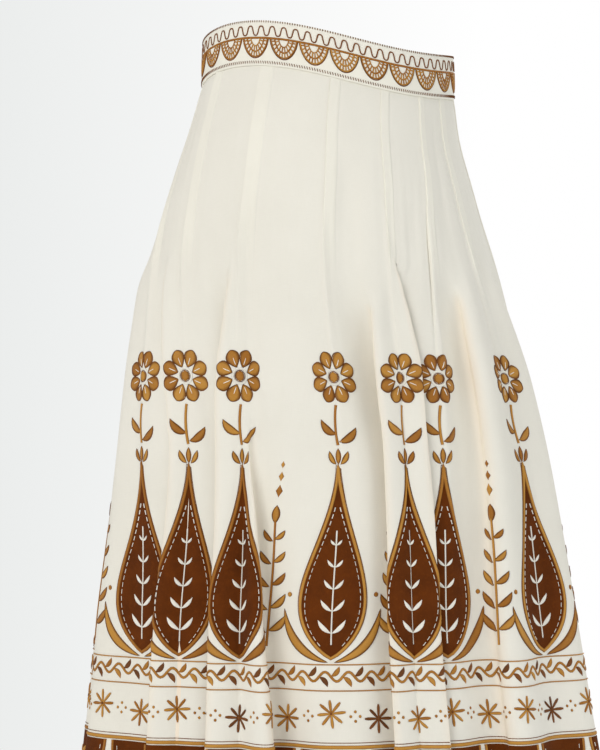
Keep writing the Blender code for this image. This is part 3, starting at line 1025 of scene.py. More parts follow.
# The skirt's motifs, in metres: how far below the waist each stands, its size and its parts.
LEAF_TIP = 0.366
LEAF_FOOT = 0.537
LEAF_WIDTH = 0.058
LEAF_POINTS = 56
LEAF_EDGE = 0.0034
LEAF_INSET = 0.0082
VEIN_WIDTH = 0.0017
VEIN_PAIRS = 5
FLOWER_DROP = 0.288
FLOWER_RADIUS = 0.0235
PETALS = 8
PETAL_START = 0.0082
PETAL_WIDTH = 0.0128
PETAL_POINTS = 16
PETAL_STITCH = (0.0006, 0.0011, 0.0011, 0.0011, 0.0006)
STEM_WIDTH = 0.0029
SPRIG_FOOT = 0.528
SPRIG_TIP = 0.408
DIAMONDS = ((0.389, 0.0078), (0.376, 0.0060), (0.3655, 0.0044))
BORDER_METRIC = 0.13
VINE_DROP = 0.553
VINE_REACH = 0.0042
VINE_WAVES = 6
VINE_WIDTH = 0.0026
STAR_DROP = 0.588
STAR_STAGGER = 0.0025
STAR_RADIUS = 0.0125
STAR_RAYS = 8
STAR_TILT = 0.12
RAY_WIDTHS = (0.0016, 0.0024, 0.0029, 0.0030, 0.0018)
DOT_SPREAD = 0.0042
ARCH_DROP = 0.617
ARCH_DEPTH = 0.056
ARCH_WIDTH = 0.0575
ARCH_POINTS = 22
ARCH_EDGE = 0.0032
ARCH_INSET = 0.0095
HEART_PETALS = 5

# The straight lines round the skirt: thread, drop, width, rise and profile.
BORDER_LINES = (
    ("golden", 0.5425, 0.0012, SATIN_RISE, SATIN),
    ("golden", 0.5655, 0.0012, SATIN_RISE, SATIN),
    ("golden", ARCH_DROP - 0.002, 0.0036, SATIN_RISE, SATIN),
    ("dark", ARCH_DROP - 0.0058, 0.0009, 0.0006, THREAD),
)


def bell(points):
    """The widths of the large leaf, as shares: a long drawn tip, and a full round foot."""
    share = np.linspace(0.0, 1.0, points)
    return np.maximum(np.sin(pi * share**2.05) ** 0.78, 0.006)


def large_leaf(work):
    """A long leaf of brown cotton, edged with satin stitch and veined in ivory."""
    spine = bent((0.0, LEAF_TIP), (0.0, LEAF_FOOT), 0.0, LEAF_POINTS)
    widths = LEAF_WIDTH * bell(LEAF_POINTS)
    work.patch(spine, widths, 23)
    edge = outline(spine, widths)
    work.line("golden", edge, LEAF_EDGE, SATIN_RISE + PATCH_RISE, closed=True)
    work.line("dark", outline(spine, widths + 0.0042), 0.0008, 0.0006, THREAD, closed=True)
    for inner in sides(spine[12:-3], widths[12:-3] - LEAF_INSET):
        work.running(inner, 0.0040)
    vein = bent((0.0, LEAF_FOOT - 0.012), (0.0, LEAF_TIP + 0.058), 0.0, 14)
    work.line("white", vein, VEIN_WIDTH, 0.0006, lift=PATCH_RISE)
    for step in range(VEIN_PAIRS):
        drop = LEAF_FOOT - 0.022 - 0.0195 * step
        length = 0.0155 - 0.0023 * step
        widths = leaf_width(8, 0.0052 - 0.0006 * step)
        for side in (-1, 1):
            end = (side * length * 0.80, drop - length * 0.78)
            spine = bent((0.0, drop), end, 0.10 * side, 8)
            work.line("white", spine, widths, 0.0006, lift=PATCH_RISE)


def crown(work):
    """Three small buds over the tip of the large leaf's stalk."""
    for side in (-1, 0, 1):
        end = (side * 0.0088, LEAF_TIP - 0.0125 - 0.0025 * (side == 0))
        work.leaf((side * 0.0022, LEAF_TIP - 0.001), end, 0.1 * side, 0.0046, 7)


def flower(work):
    """A round flower of separate petals on a short stem with a pair of leaves."""
    centre = np.array((0.0, FLOWER_DROP))
    share = (1 - np.cos(np.linspace(0, pi, PETAL_POINTS))) / 2
    widths = np.maximum(PETAL_WIDTH * np.sin(pi * share**1.35) ** 0.62, 0.0010)
    for petal in range(PETALS):
        turn = 2 * pi * (petal + 0.5) / PETALS
        ray = np.array((sin(turn), -cos(turn)))
        start = centre + ray * PETAL_START
        spine = start + ray * (FLOWER_RADIUS - PETAL_START) * share[:, None]
        work.filled(spine, widths, 0.0010)
        stitch = bent(start + ray * 0.0022, start + ray * 0.0085, 0.0, 5)
        work.line("white", stitch, PETAL_STITCH, 0.0004, lift=SATIN_RISE)
    work.line("white", ring(centre, 0.0068, 22), 0.0019, 0.0008, closed=True)
    work.dot("golden", centre, 0.0047, 0.0012)
    work.line("dark", ring(centre, 0.0050, 18), 0.0008, 0.0009, THREAD, closed=True)
    foot = LEAF_TIP - 0.018
    stem = bent((0.0, FLOWER_DROP + FLOWER_RADIUS + 0.001), (0.0, foot), 0.05, 14)
    work.line("golden", stem, STEM_WIDTH)
    for side, drop in ((-1, foot - 0.010), (1, foot - 0.003)):
        work.leaf((side * 0.0012, drop), (side * 0.0170, drop - 0.0125), 0.16 * side, 0.0070)


def sprig(work):
    """A slim upright spray between two large leaves, with small diamonds over it."""
    stem = bent((0.0, SPRIG_FOOT), (0.0, SPRIG_TIP + 0.006), 0.012, 20)
    work.line("golden", stem, VINE_WIDTH)
    for step in range(5):
        drop = SPRIG_FOOT - 0.012 - 0.0205 * step
        length = 0.0225 - 0.0022 * step
        for side in (-1, 1):
            start = (side * 0.0010, drop - 0.002 * (side > 0))
            end = (side * length * 0.78, drop - length * 0.72)
            work.leaf(start, end, 0.14 * side, 0.0068 - 0.0006 * step)
    work.leaf((0.0, SPRIG_TIP + 0.010), (0.0, SPRIG_TIP - 0.006), 0.0, 0.0082, rise=0.0011)
    share = 1 - abs(np.linspace(-1, 1, 7))
    for drop, size in DIAMONDS:
        spine = bent((0.0, drop - size * 0.72), (0.0, drop + size * 0.72), 0.0, 7)
        work.line("golden", spine, np.maximum(size * share, POINTED))


def leaf_spray(work):
    """The large leaf with its crown, and a slender leaf and a bud on each side of its foot."""
    large_leaf(work)
    crown(work)
    for side in (-1, 1):
        end = (side * 0.0445, LEAF_FOOT - 0.0430)
        work.leaf((side * 0.0030, LEAF_FOOT + 0.0035), end, 0.17 * side, 0.0082, 31)
        work.dot("golden", (side * 0.0395, LEAF_FOOT - 0.0560), 0.0023)


def vine_drop(drop, reach, marks):
    """The drop of a line that winds this far up and down, at these marks."""
    return drop + reach * np.sin(2 * pi * VINE_WAVES * marks)


def border_path(panel, points_a_pleat, drop, reach=0.0):
    """A line from seam to seam of a panel: its first number is a mark, stretched to metres."""
    count = int(round((panel.end - panel.start) * points_a_pleat)) + 1
    marks = np.linspace(panel.start + 0.004, panel.end - 0.004, count)
    return np.stack([marks * BORDER_METRIC, vine_drop(drop, reach, marks)], -1)


def borders(work, panel):
    """The running vine, the straight lines and the arches' foot line on one panel."""
    work.line("golden", border_path(panel, 66, VINE_DROP, VINE_REACH), VINE_WIDTH)
    first = int(np.ceil(panel.start * 2 * VINE_WAVES))
    for half in range(first, int(panel.end * 2 * VINE_WAVES) + 1):
        mark = half / (2 * VINE_WAVES)
        side = 1 if half % 2 else -1
        drop = vine_drop(VINE_DROP, VINE_REACH, mark) + side * 0.0004
        start = (mark * BORDER_METRIC, drop)
        end = (start[0] + 0.0078, start[1] + side * 0.0088)
        thread = "golden" if half % 4 < 2 else "dark"
        work.line(thread, bent(start, end, -0.15 * side, 8), leaf_width(8, 0.0050))
    for thread, drop, width, rise, profile in BORDER_LINES:
        work.line(thread, border_path(panel, 48, drop), width, rise, profile)


def arch(work):
    """A brown cotton arch that hangs from the lower line, edged in satin stitch."""
    top = ARCH_DROP + 0.0005
    spine = bent((0.0, top), (0.0, top + ARCH_DEPTH), 0.0, ARCH_POINTS)
    share = np.linspace(0.0, 1.0, ARCH_POINTS)
    widths = np.maximum(ARCH_WIDTH * (1 - share**2.1) ** 0.72, 0.0010)
    work.patch(spine, widths, 19)
    left, right = sides(spine, widths)
    edge = np.concatenate([left, right[::-1]])
    work.line("golden", edge, ARCH_EDGE, SATIN_RISE + PATCH_RISE)
    for inner in sides(spine[2:-2], np.maximum(widths[2:-2] - ARCH_INSET, 0.0010)):
        work.running(inner, 0.0036)
    heart = (0.0, top + 0.024)
    for turn in range(HEART_PETALS):
        angle = pi - 2 * pi * turn / HEART_PETALS
        petal = bent(away(heart, angle, 0.0034), away(heart, angle, 0.0125), 0.0, 7)
        work.line("golden", petal, leaf_width(7, 0.0056), 0.0008, lift=PATCH_RISE)
    work.dot("white", heart, 0.0021, lift=PATCH_RISE)
    work.dot("golden", (0.0, top + ARCH_DEPTH + 0.0085), 0.0028)
    work.dot("dark", (0.0, top + ARCH_DEPTH + 0.0165), 0.0018)


def star(work, thread, centre):
    """Eight straight rays of satin stitch about a point."""
    tilt = work.draw.uniform(-STAR_TILT, STAR_TILT)
    for ray in range(STAR_RAYS):
        turn = 2 * pi * ray / STAR_RAYS + tilt
        reach = STAR_RADIUS * work.draw.uniform(0.92, 1.06)
        path = bent(away(centre, turn, 0.0010), away(centre, turn, reach), 0.0, 5)
        work.line(thread, path, RAY_WIDTHS)
    work.dot("dark", centre, 0.0016, 0.0013)


def star_row(work, panel):
    """A row of stars, three to a pleat, with groups of dots between them."""
    for mark in work.places(panel, 0.0, 3):
        third = round(mark * 3) % (3 * PLEATS)
        drop = STAR_DROP + (STAR_STAGGER if third % 2 else -STAR_STAGGER)
        star(work, "dark" if third % 4 == 1 else "golden", (0.0, drop))
    for _ in work.places(panel, 1 / 6, 3):
        for across, down in ((0, -1), (0, 1), (-1, 0), (1, 0)):
            centre = (across * DOT_SPREAD, STAR_DROP + down * DOT_SPREAD)
            work.dot("golden", centre, 0.0014, 0.0007)


# The waistband's ornament: places as shares of its height from the top, and steps in metres.
PICOT_PITCH = 0.0023
WAVE_MIDDLE = 0.235
WAVE_REACH = 0.102
LINE_SHARE = 0.392
SCALLOP_FOOT = 0.835
ZIGZAG_SHARE = 0.925
WAVE_STEEPNESS = 1.9
WAVE_STEP = 0.00065
SCALLOP_SHARE = 0.475


def scallop(work, half_width, top, depth):
    """A hanging half round of lattice: curved lines, and short bars between them."""

    def curve(scale, points):
        turn = np.linspace(-pi / 2, pi / 2, points)
        across = half_width * scale * np.sin(turn)
        down = depth * scale**0.92 * np.cos(turn) ** 1.25
        return np.stack([across, top + down], -1)

    work.line("dark", curve(1.0, 25), 0.0011, 0.0007, THREAD)
    for scale, points, width in ((0.925, 25, 0.0015), (0.650, 19, 0.0016), (0.360, 13, 0.0012)):
        work.line("golden", curve(scale, points), width, 0.0008)
    for outer, inner, bars in ((0.93, 0.65, 13), (0.65, 0.36, 9)):
        pairs = zip(curve(inner, bars + 1), curve(outer, bars + 1))
        for near, far in list(pairs)[1:-1]:
            work.line("golden", bent(near, far, 0.0, 3), 0.0013, 0.0007)


def ticks(work, start, end, high, low, slant):
    """A row of short stitches between two places round the band."""
    places = np.linspace(start, end, max(int(round((end - start) / PICOT_PITCH)), 2))
    for place in places[1:-1]:
        stitch = bent((place - slant, high), (place + slant, low), 0.0, 3)
        work.line("dark", stitch, 0.0009, 0.0007, THREAD)


def band_ornament(work, surface, panel, settings):
    """The picot edges, the winding and the straight line, and the scallops on one piece."""
    start, end = band_ends(surface, panel)
    middle = surface.round * (panel.start >= BACK_SEAM)
    worked = surface.round - 2 * (ZIP_HALF_GAP + 0.0012)
    ticks(work, start, end, 0.0002, 0.0020, 0.0)
    foot = BAND_HEIGHT * ZIGZAG_SHARE
    ticks(work, start, end, foot - 0.0012, foot + 0.0012, 0.0004)
    along = np.linspace(start, end, int((end - start) / WAVE_STEP))
    phase = 2 * pi * settings.waves * (along - middle) / worked
    wave = np.tanh(WAVE_STEEPNESS * np.sin(phase)) / np.tanh(WAVE_STEEPNESS)
    down = BAND_HEIGHT * (WAVE_MIDDLE - WAVE_REACH * wave)
    work.line("dark", np.stack([along, down], -1), 0.0014, 0.0007)
    top = BAND_HEIGHT * LINE_SHARE
    along = np.linspace(start, end, int((end - start) / 0.004))
    work.line("golden", np.stack([along, np.full(len(along), top)], -1), 0.0022, 0.0008)
    pitch = worked / settings.scallops
    for step in range(settings.scallops):
        work.base = middle + (step + 0.5 - settings.scallops / 2) * pitch
        if start <= work.base < end:
            scallop(work, pitch * SCALLOP_SHARE, top, BAND_HEIGHT * (SCALLOP_FOOT - LINE_SHARE))


# The cloth pieces.


def panel_marks(panel, width):
    """The marks of a panel's columns at a level whose pleats are this wide."""
    last = TUCK_COLUMNS[-1] / width
    rest = last + (1 - last) * np.arange(1, OPEN_COLUMNS) / OPEN_COLUMNS
    ends = 1 - np.array(LAST_COLUMNS) / width
    shares = np.concatenate([np.array(TUCK_COLUMNS) / width, rest, ends])
    pleats = np.arange(int(panel.start), int(np.ceil(panel.end)))
    return (pleats[:, None] + shares).ravel()


def panel_shell(surface, panel, settings):
    """One panel of the skirt as a thin closed cloth."""
    drops = np.linspace(CLOTH_TOP, HEM, SHELL_ROWS)
    widths = np.array([read(CUT, "width", drop) for drop in drops])
    every = np.array([panel_marks(panel, width) for width in widths])
    after = every.min(axis=0) > panel.start + SEAM_COLUMNS_CLEAR
    before = every.max(axis=0) < panel.end - SEAM_COLUMNS_CLEAR
    rows = []
    marks = []
    share = np.arange(1, SEAM_COLUMNS + 1) / (SEAM_COLUMNS + 1)
    for drop, width, inside in zip(drops, widths, every[:, after & before]):
        first = panel.start + seam_gap(drop, panel.start) / width
        last = panel.end - seam_gap(drop, panel.end) / width
        lead = first + (inside[0] - first) * share
        trail = inside[-1] + (last - inside[-1]) * share
        marks.append(np.concatenate([[first], lead, inside, trail, [last]]))
        flat, angle = smooth_level(drop, marks[-1])
        rows.append(lifted(flat, drop, angle))
    plain = np.array(rows)
    marks = np.array(marks)
    down = drops[:, None]
    # How far the cloth lies in a fold, which sets its painted fold light.
    facing, hollow = surface.folds(marks, down)
    outer = plain + facing * relief(marks, down, widths[:, None], settings)[..., None]
    inner = outer - outward(plain) * settings.thickness
    # Where the cloth lies double, at the stitched tucks and the turned hem; elsewhere the cotton
    # paints the single cloth greyer with the shade that shows through it.
    held = 1 - ease(down, TUCK_ENDS - 0.005, TUCK_ENDS + 0.055)
    beside = (marks % 1) * widths[:, None]
    doubled = held * ease(beside, 0.0002, 0.0009) * (1 - ease(beside, *TUCK_SHADE))
    layers = np.maximum(doubled, ease(down - (HEM - HEM_TURN), -0.0005, 0.0005))
    uvs = np.stack(np.broadcast_arrays(marks * BORDER_METRIC, down), -1)
    shades = {"layers": layers, "hollow": hollow}
    piece = shell(f"{panel.name}_cloth", outer, inner, uvs, shades, cotton(settings))
    return own_piece(piece, "cotton", panel.name)


def band_angle(mark):
    """The angle at which a seam of the skirt meets the waistband."""
    bounds = pleat_angles(BAND_HALF_HEIGHT)
    turned = 2 * pi * (mark // PLEATS)
    return np.interp(mark % PLEATS, np.arange(PLEATS + 1), bounds) + turned


def band_ends(surface, panel):
    """Where a piece of the waistband starts and ends, in metres round it."""
    start = surface.reach(band_angle(panel.start)) + seam_gap(0.0, panel.start)
    end = surface.reach(band_angle(panel.end)) - seam_gap(0.0, panel.end)
    return start, end


def band_shell(surface, panel, settings):
    """One piece of the waistband, folded over at its two edges."""
    start, end = band_ends(surface, panel)
    along = np.linspace(start, end, int((end - start) / BAND_COLUMN) + 2)
    edge = np.array((0.0, 0.0003, 0.0008, BAND_ROUNDING))
    middle = np.linspace(0.003, BAND_HEIGHT - 0.003, 11)
    down = np.concatenate([edge, middle, BAND_HEIGHT - edge[::-1]])
    near = np.minimum(down, BAND_HEIGHT - down)
    sunk = 0.0009 * (1 - np.sqrt(1 - np.clip(1 - near / BAND_ROUNDING, 0, 1) ** 2))
    uvs = np.stack(np.broadcast_arrays(along, down[:, None]), -1)
    point, normal = surface.at(0.0, uvs[..., 0], uvs[..., 1])
    seamed = 0.0005 * hump(np.minimum(along - start, end - along), 0.0012)
    outer = point - normal * (sunk[:, None] + seamed)[..., None]
    inner = point - normal * (BAND_CLOTH - sunk)[:, None, None]
    node = f"waistband_{panel.name}"
    piece = shell(f"{node}_cloth", outer, inner, uvs, {}, band_cotton(settings))
    return own_piece(piece, "band_cotton", node)


def tape_points(drops, offsets):
    """The outer face of the zip's tape: rows down it and columns across it."""
    rows = []
    for drop in drops:
        on_band = drop <= BAND_HALF_HEIGHT
        radius = BAND_SIDE if on_band else read(OUTLINE, "right", drop)
        angle = pi + offsets / radius
        place, _, out = (band_oval if on_band else cloth_oval)(drop, angle)
        place = place - out * ((BAND_CLOTH if on_band else CLOTH) + TAPE_GAP)
        rows.append(lifted(place, drop, angle))
    return np.array(rows)


class TapeSurface:
    """The zip's tape, looked up by the way across it and the drop."""

    def __init__(self):
        self.drops = np.linspace(ZIP_TOP, TAPE_END, 90)
        self.offsets = np.linspace(-TAPE_HALF_WIDTH, TAPE_HALF_WIDTH, 17)
        self.grid = Grid(tape_points(self.drops, self.offsets))

    def at(self, base, right, down):
        row = index_of(down, ZIP_TOP, TAPE_END, len(self.drops))
        column = index_of(right, -TAPE_HALF_WIDTH, TAPE_HALF_WIDTH, len(self.offsets))
        return self.grid.look(row, column)


def tape_shell(surface, settings):
    points, normals = surface.grid.points, surface.grid.normals
    inner = points - normals * TAPE_THICKNESS
    uvs = np.stack(np.broadcast_arrays(surface.offsets, surface.drops[:, None]), -1)
    piece = shell("zip_tape_cloth", points, inner, uvs, {}, tape_cotton(settings))
    return own_piece(piece, "zip_tape", "zip_tape")


# The widths of one turn of the coil, from its foot to its tooth.
COIL_WIDTHS = (0.0009, 0.0011, 0.0011, 0.0012, 0.0009)


def zip_coil(surface, settings):
    """The coil's turns, which meet down the middle of the tape."""
    work = Needlework(surface, 5)
    drop = ZIP_TOP + 0.004
    side = 1
    while drop < TUCK_ENDS + 0.012:
        turn = bent((side * 0.0022, drop + 0.0003), (-side * 0.0006, drop), 0.0, 5)
        work.line("coil", turn, COIL_WIDTHS)
        drop += settings.tooth_pitch / 2
        side = -side
    for across in (-0.0029, 0.0029):
        path = bent((across, ZIP_TOP + 0.003), (across, TUCK_ENDS + 0.014), 0.0, 60)
        work.line("coil", path, 0.0009, 0.0004, THREAD)
    return work.finish("zip", {"coil": (coil_plastic(settings), "zip_tape")})


# What a user would change.


def linear(red, green, blue):
    """A colour as a screen shows it, 0 to 255, in the linear numbers that a material takes."""
    made = []
    for channel in (red, green, blue):
        share = channel / 255
        made.append(share / 12.92 if share <= 0.04045 else ((share + 0.055) / 1.055) ** 2.4)
    return tuple(made)


def colour(name, description, default):
    """A colour that a user can set."""
    limits = {"min": 0.0, "max": 1.0, "size": 3, "subtype": "COLOR"}
    return FloatVectorProperty(name=name, description=description, default=default, **limits)


def size(name, description, default):
    """A length that a user can set."""
    shown = {"unit": "LENGTH", "precision": 4}
    return FloatProperty(name=name, description=description, default=default, **shown)


def light_power(name, description, default):
    """A light's power that a user can set."""
    return FloatProperty(name=name, description=description, default=default, unit="POWER")


def number(name, description, default):
    """A number of repeats that a user can set."""
    return IntProperty(name=name, description=description, default=default, min=8)


class SkirtCloth(bpy.types.PropertyGroup):
    # The single cloth's colour holds painted shade: it is greyer than the double, as the shade
    # behind one layer shows through it.
    single: colour("Single cloth", "Where the cloth lies in one layer", linear(234, 230, 218))
    double: colour("Double cloth", "Where two layers lie on each other", linear(240, 236, 222))
    shadow: colour("Cloudy cloth", "The darker parts of the cloth", linear(226, 222, 209))
    light: colour("Raised threads", "The lightest threads of the weave", linear(246, 243, 232))
    # The warm tint of the painted light deep in the folds.
    hollow: colour("Hollows", "The cloth inside and beside its folds", linear(246, 229, 206))
    weave: size("Weave", "From one thread to the next but one", 0.0008)
    weave_depth: size("Weave depth", "How far the threads stand out", 0.00012)
    thickness: size("Thickness", "Of the skirt's cloth", 0.0010)
    tuck_rise: size("Tuck", "How far a stitched pleat stands out", 0.0011)
    ripple: size("Swells", "How far the cloth swells between its folds", 0.0006)
    band_swell: size("Band's crown", "How far the waistband's middle stands out", 0.0004)


class SkirtThreads(bpy.types.PropertyGroup):
    golden: colour("Golden", "Satin stitch", linear(164, 104, 30))
    golden_light: colour("Golden light", "Satin stitch that catches light", linear(204, 148, 62))
    dark: colour("Dark", "Outlines", linear(102, 58, 18))
    white: colour("Ivory", "Veins and running stitch", linear(240, 236, 224))
    brown: colour("Brown", "Sewn-on cotton", linear(90, 42, 4))
    waves: number("Waves", "Of the winding line round the band", 60)
    scallops: number("Scallops", "Round the whole band", 24)


class SkirtZip(bpy.types.PropertyGroup):
    coil: colour("Coil", "The zip's coil", linear(226, 220, 204))
    metal: colour("Metal", "The slider and its pull", linear(196, 160, 104))
    tooth_pitch: size("Turn", "From one turn of the coil to the next", 0.0022)


class SkirtStudio(bpy.types.PropertyGroup):
    floor_drop: size("Floor", "How far the floor lies below the waist", 1.10)
    floor_radius: size("Floor's reach", "The radius of the floor", 2.6)
    floor: colour("Floor's colour", "Plain and pale", linear(236, 236, 234))
    # The backdrop's darker side; painted light pales it to white towards the right.
    backdrop: colour("Backdrop", "The darker side of what is seen behind", linear(234, 236, 235))
    ambient: FloatProperty(
        name="Room light", description="Light from all sides", default=0.53, min=0.0
    )
    key: light_power("Key light", "From the front left", 48.0)
    fill: light_power("Fill light", "From the right", 19.0)
    top: light_power("Top light", "From above", 16.0)
    back: light_power("Back light", "From behind", 22.0)


GROUPS = {
    "skirt_cloth": SkirtCloth,
    "skirt_threads": SkirtThreads,
    "skirt_zip": SkirtZip,
    "skirt_studio": SkirtStudio,
}


def thread_finishes(settings):
    """The material and the slot of each thread, and of the brown cotton."""
    dark = tuple(settings.dark)
    white = tuple(settings.white)
    # Each satin takes its colour, a lighter copy that is partly painted sheen, and a darker one
    # for the painted shade at its edges and between its threads; the golden takes the dark
    # thread's colour for that shade.
    golden = satin(
        "golden satin stitch", settings.golden, settings.golden_light, dark, 0.72, 0.48
    )
    outlines = satin("dark outline stitch", dark, scaled(dark, 1.7), scaled(dark, 0.6), 0.4, 0.5)
    ivory = satin("ivory stitch", white, scaled(white, 1.08), scaled(white, 0.62), 0.5, 0.6)
    return {
        "golden": (golden, "golden_thread"),
        "dark": (outlines, "dark_thread"),
        "white": (ivory, "white_thread"),
        "brown": (brown_cotton(settings), "brown_applique"),
    }


class SkirtPiece:
    """What the operators share: the cloth's surface, and how needlework is put on it."""

    bl_options = {"REGISTER", "UNDO"}
    surfaces = {}

    def skirt(self, context):
        if "skirt" not in self.surfaces:
            self.surfaces["skirt"] = SkirtSurface(context.scene.skirt_cloth)
        return self.surfaces["skirt"]

    def embroider(self, context, name, seed, surface, draw):
        """One set of pieces for each panel, by a function that draws on it."""
        for panel in PANELS:
            work = Needlework(surface, seed)
            draw(work, panel)
            finishes = thread_finishes(context.scene.skirt_threads)
            ON_CLOTH[panel.name].extend(work.finish(f"{name}_{panel.name}", finishes))
        return {"FINISHED"}


ON_CLOTH = {panel.name: [] for panel in PANELS}
ON_BAND = {}


class SKIRT_OT_panels(SkirtPiece, bpy.types.Operator):
    """Make the three panels of the skirt"""

    bl_idname = "skirt.panels"
    bl_label = "Panels"

    def execute(self, context):
        surface = self.skirt(context)
        for panel in PANELS:
            panel_shell(surface, panel, context.scene.skirt_cloth)
        return {"FINISHED"}


class SKIRT_OT_waistband(SkirtPiece, bpy.types.Operator):
    """Make the three pieces of the waistband and their ornament"""

    bl_idname = "skirt.waistband"
    bl_label = "Waistband"

    def execute(self, context):
        cloth = context.scene.skirt_cloth
        threads = context.scene.skirt_threads
        surface = BandSurface(cloth)
        for panel in PANELS:
            band_shell(surface, panel, cloth)
            work = Needlework(surface, 3)
            band_ornament(work, surface, panel, threads)
            ON_BAND[panel.name] = work.finish(f"band_{panel.name}", thread_finishes(threads))
        return {"FINISHED"}


class SKIRT_OT_leaves(SkirtPiece, bpy.types.Operator):
    """Work the large brown leaves"""

    bl_idname = "skirt.leaves"
    bl_label = "Leaves"

    def execute(self, context):
        def draw(work, panel):
            for _ in work.places(panel, 0.0):
                leaf_spray(work)

        return self.embroider(context, "leaves", 21, self.skirt(context), draw)


class SKIRT_OT_flowers(SkirtPiece, bpy.types.Operator):
    """Work the round flowers and the upright sprigs"""

    bl_idname = "skirt.flowers"
    bl_label = "Flowers"

    def execute(self, context):
        def draw(work, panel):
            for _ in work.places(panel, 0.0):
                flower(work)
            for _ in work.places(panel, 0.5):
                sprig(work)

        return self.embroider(context, "flowers", 22, self.skirt(context), draw)


class SKIRT_OT_stars(SkirtPiece, bpy.types.Operator):
    """Work the row of stars and the arches under it"""

    bl_idname = "skirt.stars"
    bl_label = "Stars and arches"

    def execute(self, context):
        def draw(work, panel):
            star_row(work, panel)
            for _ in work.places(panel, 0.0, 2):
                arch(work)

        return self.embroider(context, "stars", 23, self.skirt(context), draw)


class SKIRT_OT_borders(SkirtPiece, bpy.types.Operator):
    """Work the vine and the lines that run round the skirt"""

    bl_idname = "skirt.borders"
    bl_label = "Borders"

    def execute(self, context):
        surface = BorderSurface(self.skirt(context))
        return self.embroider(context, "borders", 24, surface, borders)


class SKIRT_OT_zip(SkirtPiece, bpy.types.Operator):
    """Make the zip's tape and coil, and give its slider and pull their metal"""

    bl_idname = "skirt.zip"
    bl_label = "Zip"

    def execute(self, context):
        surface = TapeSurface()
        tape = tape_shell(surface, context.scene.skirt_cloth)
        coil = zip_coil(surface, context.scene.skirt_zip)
        metal = zip_metal(context.scene.skirt_zip)
        for node in ("zip_slider", "zip_pull"):
            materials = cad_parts[node].data.materials
            materials.clear()
            materials.append(metal)
        return {"FINISHED"}


class SKIRT_OT_cut(SkirtPiece, bpy.types.Operator):
    """Work out the flat cut of each piece of cloth and gather the needlework on it, keeping
    neither
    """

    bl_idname = "skirt.cut"
    bl_label = "Cut"

    def execute(self, context):
        drops = np.linspace(CLOTH_TOP, HEM, 200)
        widths = np.array([read(CUT, "width", drop) for drop in drops])
        mean = (widths[1:] + widths[:-1]).mean() / 2
        surface = BandSurface(context.scene.skirt_cloth)
        length = HEM - CLOTH_TOP
        for panel in PANELS:
            pleats = panel.end - panel.start
            float(pleats * widths[-1])
            float(pleats * mean * length)
            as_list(ON_CLOTH[panel.name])
            start, end = band_ends(surface, panel)
            flat = (float(end - start), BAND_HEIGHT)
            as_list(ON_BAND[panel.name])
        return {"FINISHED"}


def area_light(name, place, width, power, tint=(1.0, 1.0, 1.0)):
    """A soft square light at a place, turned to the skirt."""
    data = bpy.data.lights.new(name, "AREA")
    data.shape = "SQUARE"
    data.size = width
    data.energy = power
    data.color = tint
    light = bpy.data.objects.new(name, data)
    light.location = place
    way = Vector(LIGHTS_AIM) - Vector(place)
    light.rotation_euler = way.to_track_quat("-Z", "Y").to_euler()
    bpy.context.scene.collection.objects.link(light)


def room_light(settings):
    """A pale room: even light from all sides, and a backdrop seen by the camera, with painted
    light that pales it to the right.
    """
    world = bpy.data.worlds.new("pale room")
    bpy.context.scene.world = world
    world.use_nodes = True
    graph = Graph(world.node_tree)
    way = graph.add("ShaderNodeTexCoord", output="Generated")
    right = graph.add("ShaderNodeSeparateXYZ", {"Vector": way})
    # Painted light on the backdrop: from its colour on the left to white on the right.
    share = graph.add("ShaderNodeMapRange", {"Value": right, "From Min": -0.13, "From Max": 0.07})
    backdrop = graph.mix(share, settings.backdrop, (1.0, 1.0, 1.0))
    seen = graph.add("ShaderNodeBackground", {"Color": backdrop})
    light = {"Color": (1.0, 0.995, 0.985), "Strength": settings.ambient}
    lit = graph.add("ShaderNodeBackground", light)
    rays = graph.add("ShaderNodeLightPath", output="Is Camera Ray")
    both = graph.add("ShaderNodeMixShader", {0: rays, 1: lit, 2: seen})
    graph.add("ShaderNodeOutputWorld", {"Surface": both})


def floor_finish(settings):
    finish = Finish("pale floor")
    soft = finish.noise(finish.place(), 3.0, 3.0)
    pale = tuple(settings.floor)
    return finish.surface(Base_Color=finish.mix(soft, pale, scaled(pale, 0.985)), Roughness=0.8)


# The camera's place, half of its view in degrees and its sensor in millimetres, and the place
# that the lights are turned to.
CAMERA_PLACE = (-0.0264, -2.4, -0.2854)
HALF_VIEW = 8.385
SENSOR = 36.0
LIGHTS_AIM = (0.0, 0.0, -0.35)


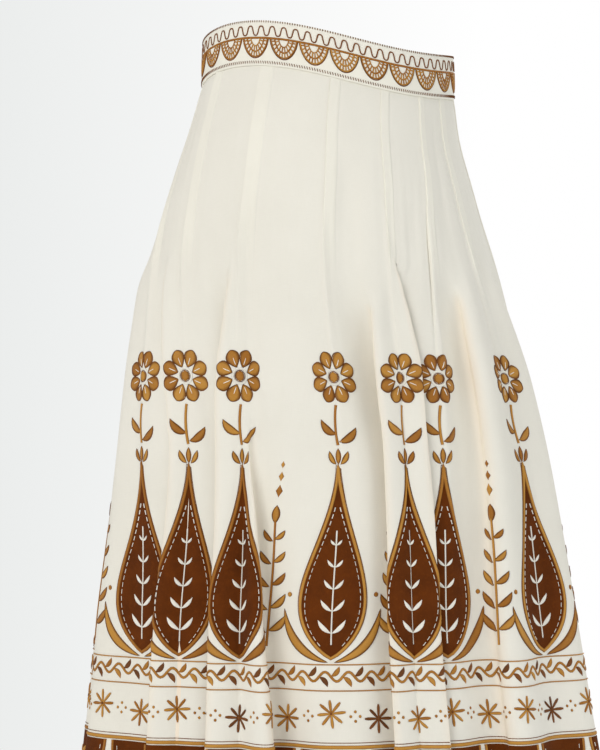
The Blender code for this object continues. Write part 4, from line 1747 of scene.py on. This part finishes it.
class SKIRT_OT_studio(bpy.types.Operator):
    """Set the floor, the lights and the camera"""

    bl_idname = "skirt.studio"
    bl_label = "Studio"

    def execute(self, context):
        settings = context.scene.skirt_studio
        place = (0, 0, -settings.floor_drop)
        bpy.ops.object.select_all(action="DESELECT")
        bpy.ops.mesh.primitive_circle_add(
            vertices=96, radius=settings.floor_radius, fill_type="NGON", location=place
        )
        floor = context.object
        bpy.ops.object.transform_apply(location=True)
        floor.name = "floor"
        floor.data.materials.append(floor_finish(settings))
        room_light(settings)
        area_light("key", (-1.9, -2.6, 0.9), 1.8, settings.key)
        area_light("fill", (2.4, -1.4, 0.2), 2.0, settings.fill, (0.90, 0.95, 1.0))
        area_light("top", (0.3, 0.9, 1.9), 2.0, settings.top)
        area_light("back", (0.7, 2.7, 0.4), 1.8, settings.back)
        data = bpy.data.cameras.new("camera")
        data.sensor_width = SENSOR
        data.lens = SENSOR / 2 / np.tan(radians(HALF_VIEW))
        camera = bpy.data.objects.new("camera", data)
        camera.location = CAMERA_PLACE
        camera.rotation_euler = (pi / 2, 0.0, 0.0)
        context.scene.collection.objects.link(camera)
        context.scene.camera = camera
        context.scene.view_settings.view_transform = "Standard"
        return {"FINISHED"}


class SKIRT_PT_sidebar(bpy.types.Panel):
    """Lists the skirt's pieces and what can be changed"""

    bl_idname = "SKIRT_PT_sidebar"
    bl_label = "Skirt"
    bl_space_type = "VIEW_3D"
    bl_region_type = "UI"
    bl_category = "Skirt"

    def draw(self, context):
        for name, group in GROUPS.items():
            box = self.layout.box()
            for key in group.__annotations__:
                box.prop(getattr(context.scene, name), key)
        for operator in OPERATORS:
            self.layout.operator(operator.bl_idname)


OPERATORS = (
    SKIRT_OT_panels,
    SKIRT_OT_waistband,
    SKIRT_OT_leaves,
    SKIRT_OT_flowers,
    SKIRT_OT_stars,
    SKIRT_OT_borders,
    SKIRT_OT_zip,
    SKIRT_OT_cut,
    SKIRT_OT_studio,
)


def register():
    for group in GROUPS.values():
        bpy.utils.register_class(group)
    for name, group in GROUPS.items():
        setattr(bpy.types.Scene, name, PointerProperty(type=group))
    for made in (*OPERATORS, SKIRT_PT_sidebar):
        bpy.utils.register_class(made)


def unregister():
    for made in (SKIRT_PT_sidebar, *reversed(OPERATORS)):
        bpy.utils.unregister_class(made)
    for name, group in GROUPS.items():
        delattr(bpy.types.Scene, name)
        bpy.utils.unregister_class(group)


def main():
    register()
    bpy.ops.skirt.panels()
    bpy.ops.skirt.waistband()
    bpy.ops.skirt.leaves()
    bpy.ops.skirt.flowers()
    bpy.ops.skirt.stars()
    bpy.ops.skirt.borders()
    bpy.ops.skirt.zip()
    bpy.ops.skirt.cut()
    bpy.ops.skirt.studio()


if __name__ == "__main__":
    main()
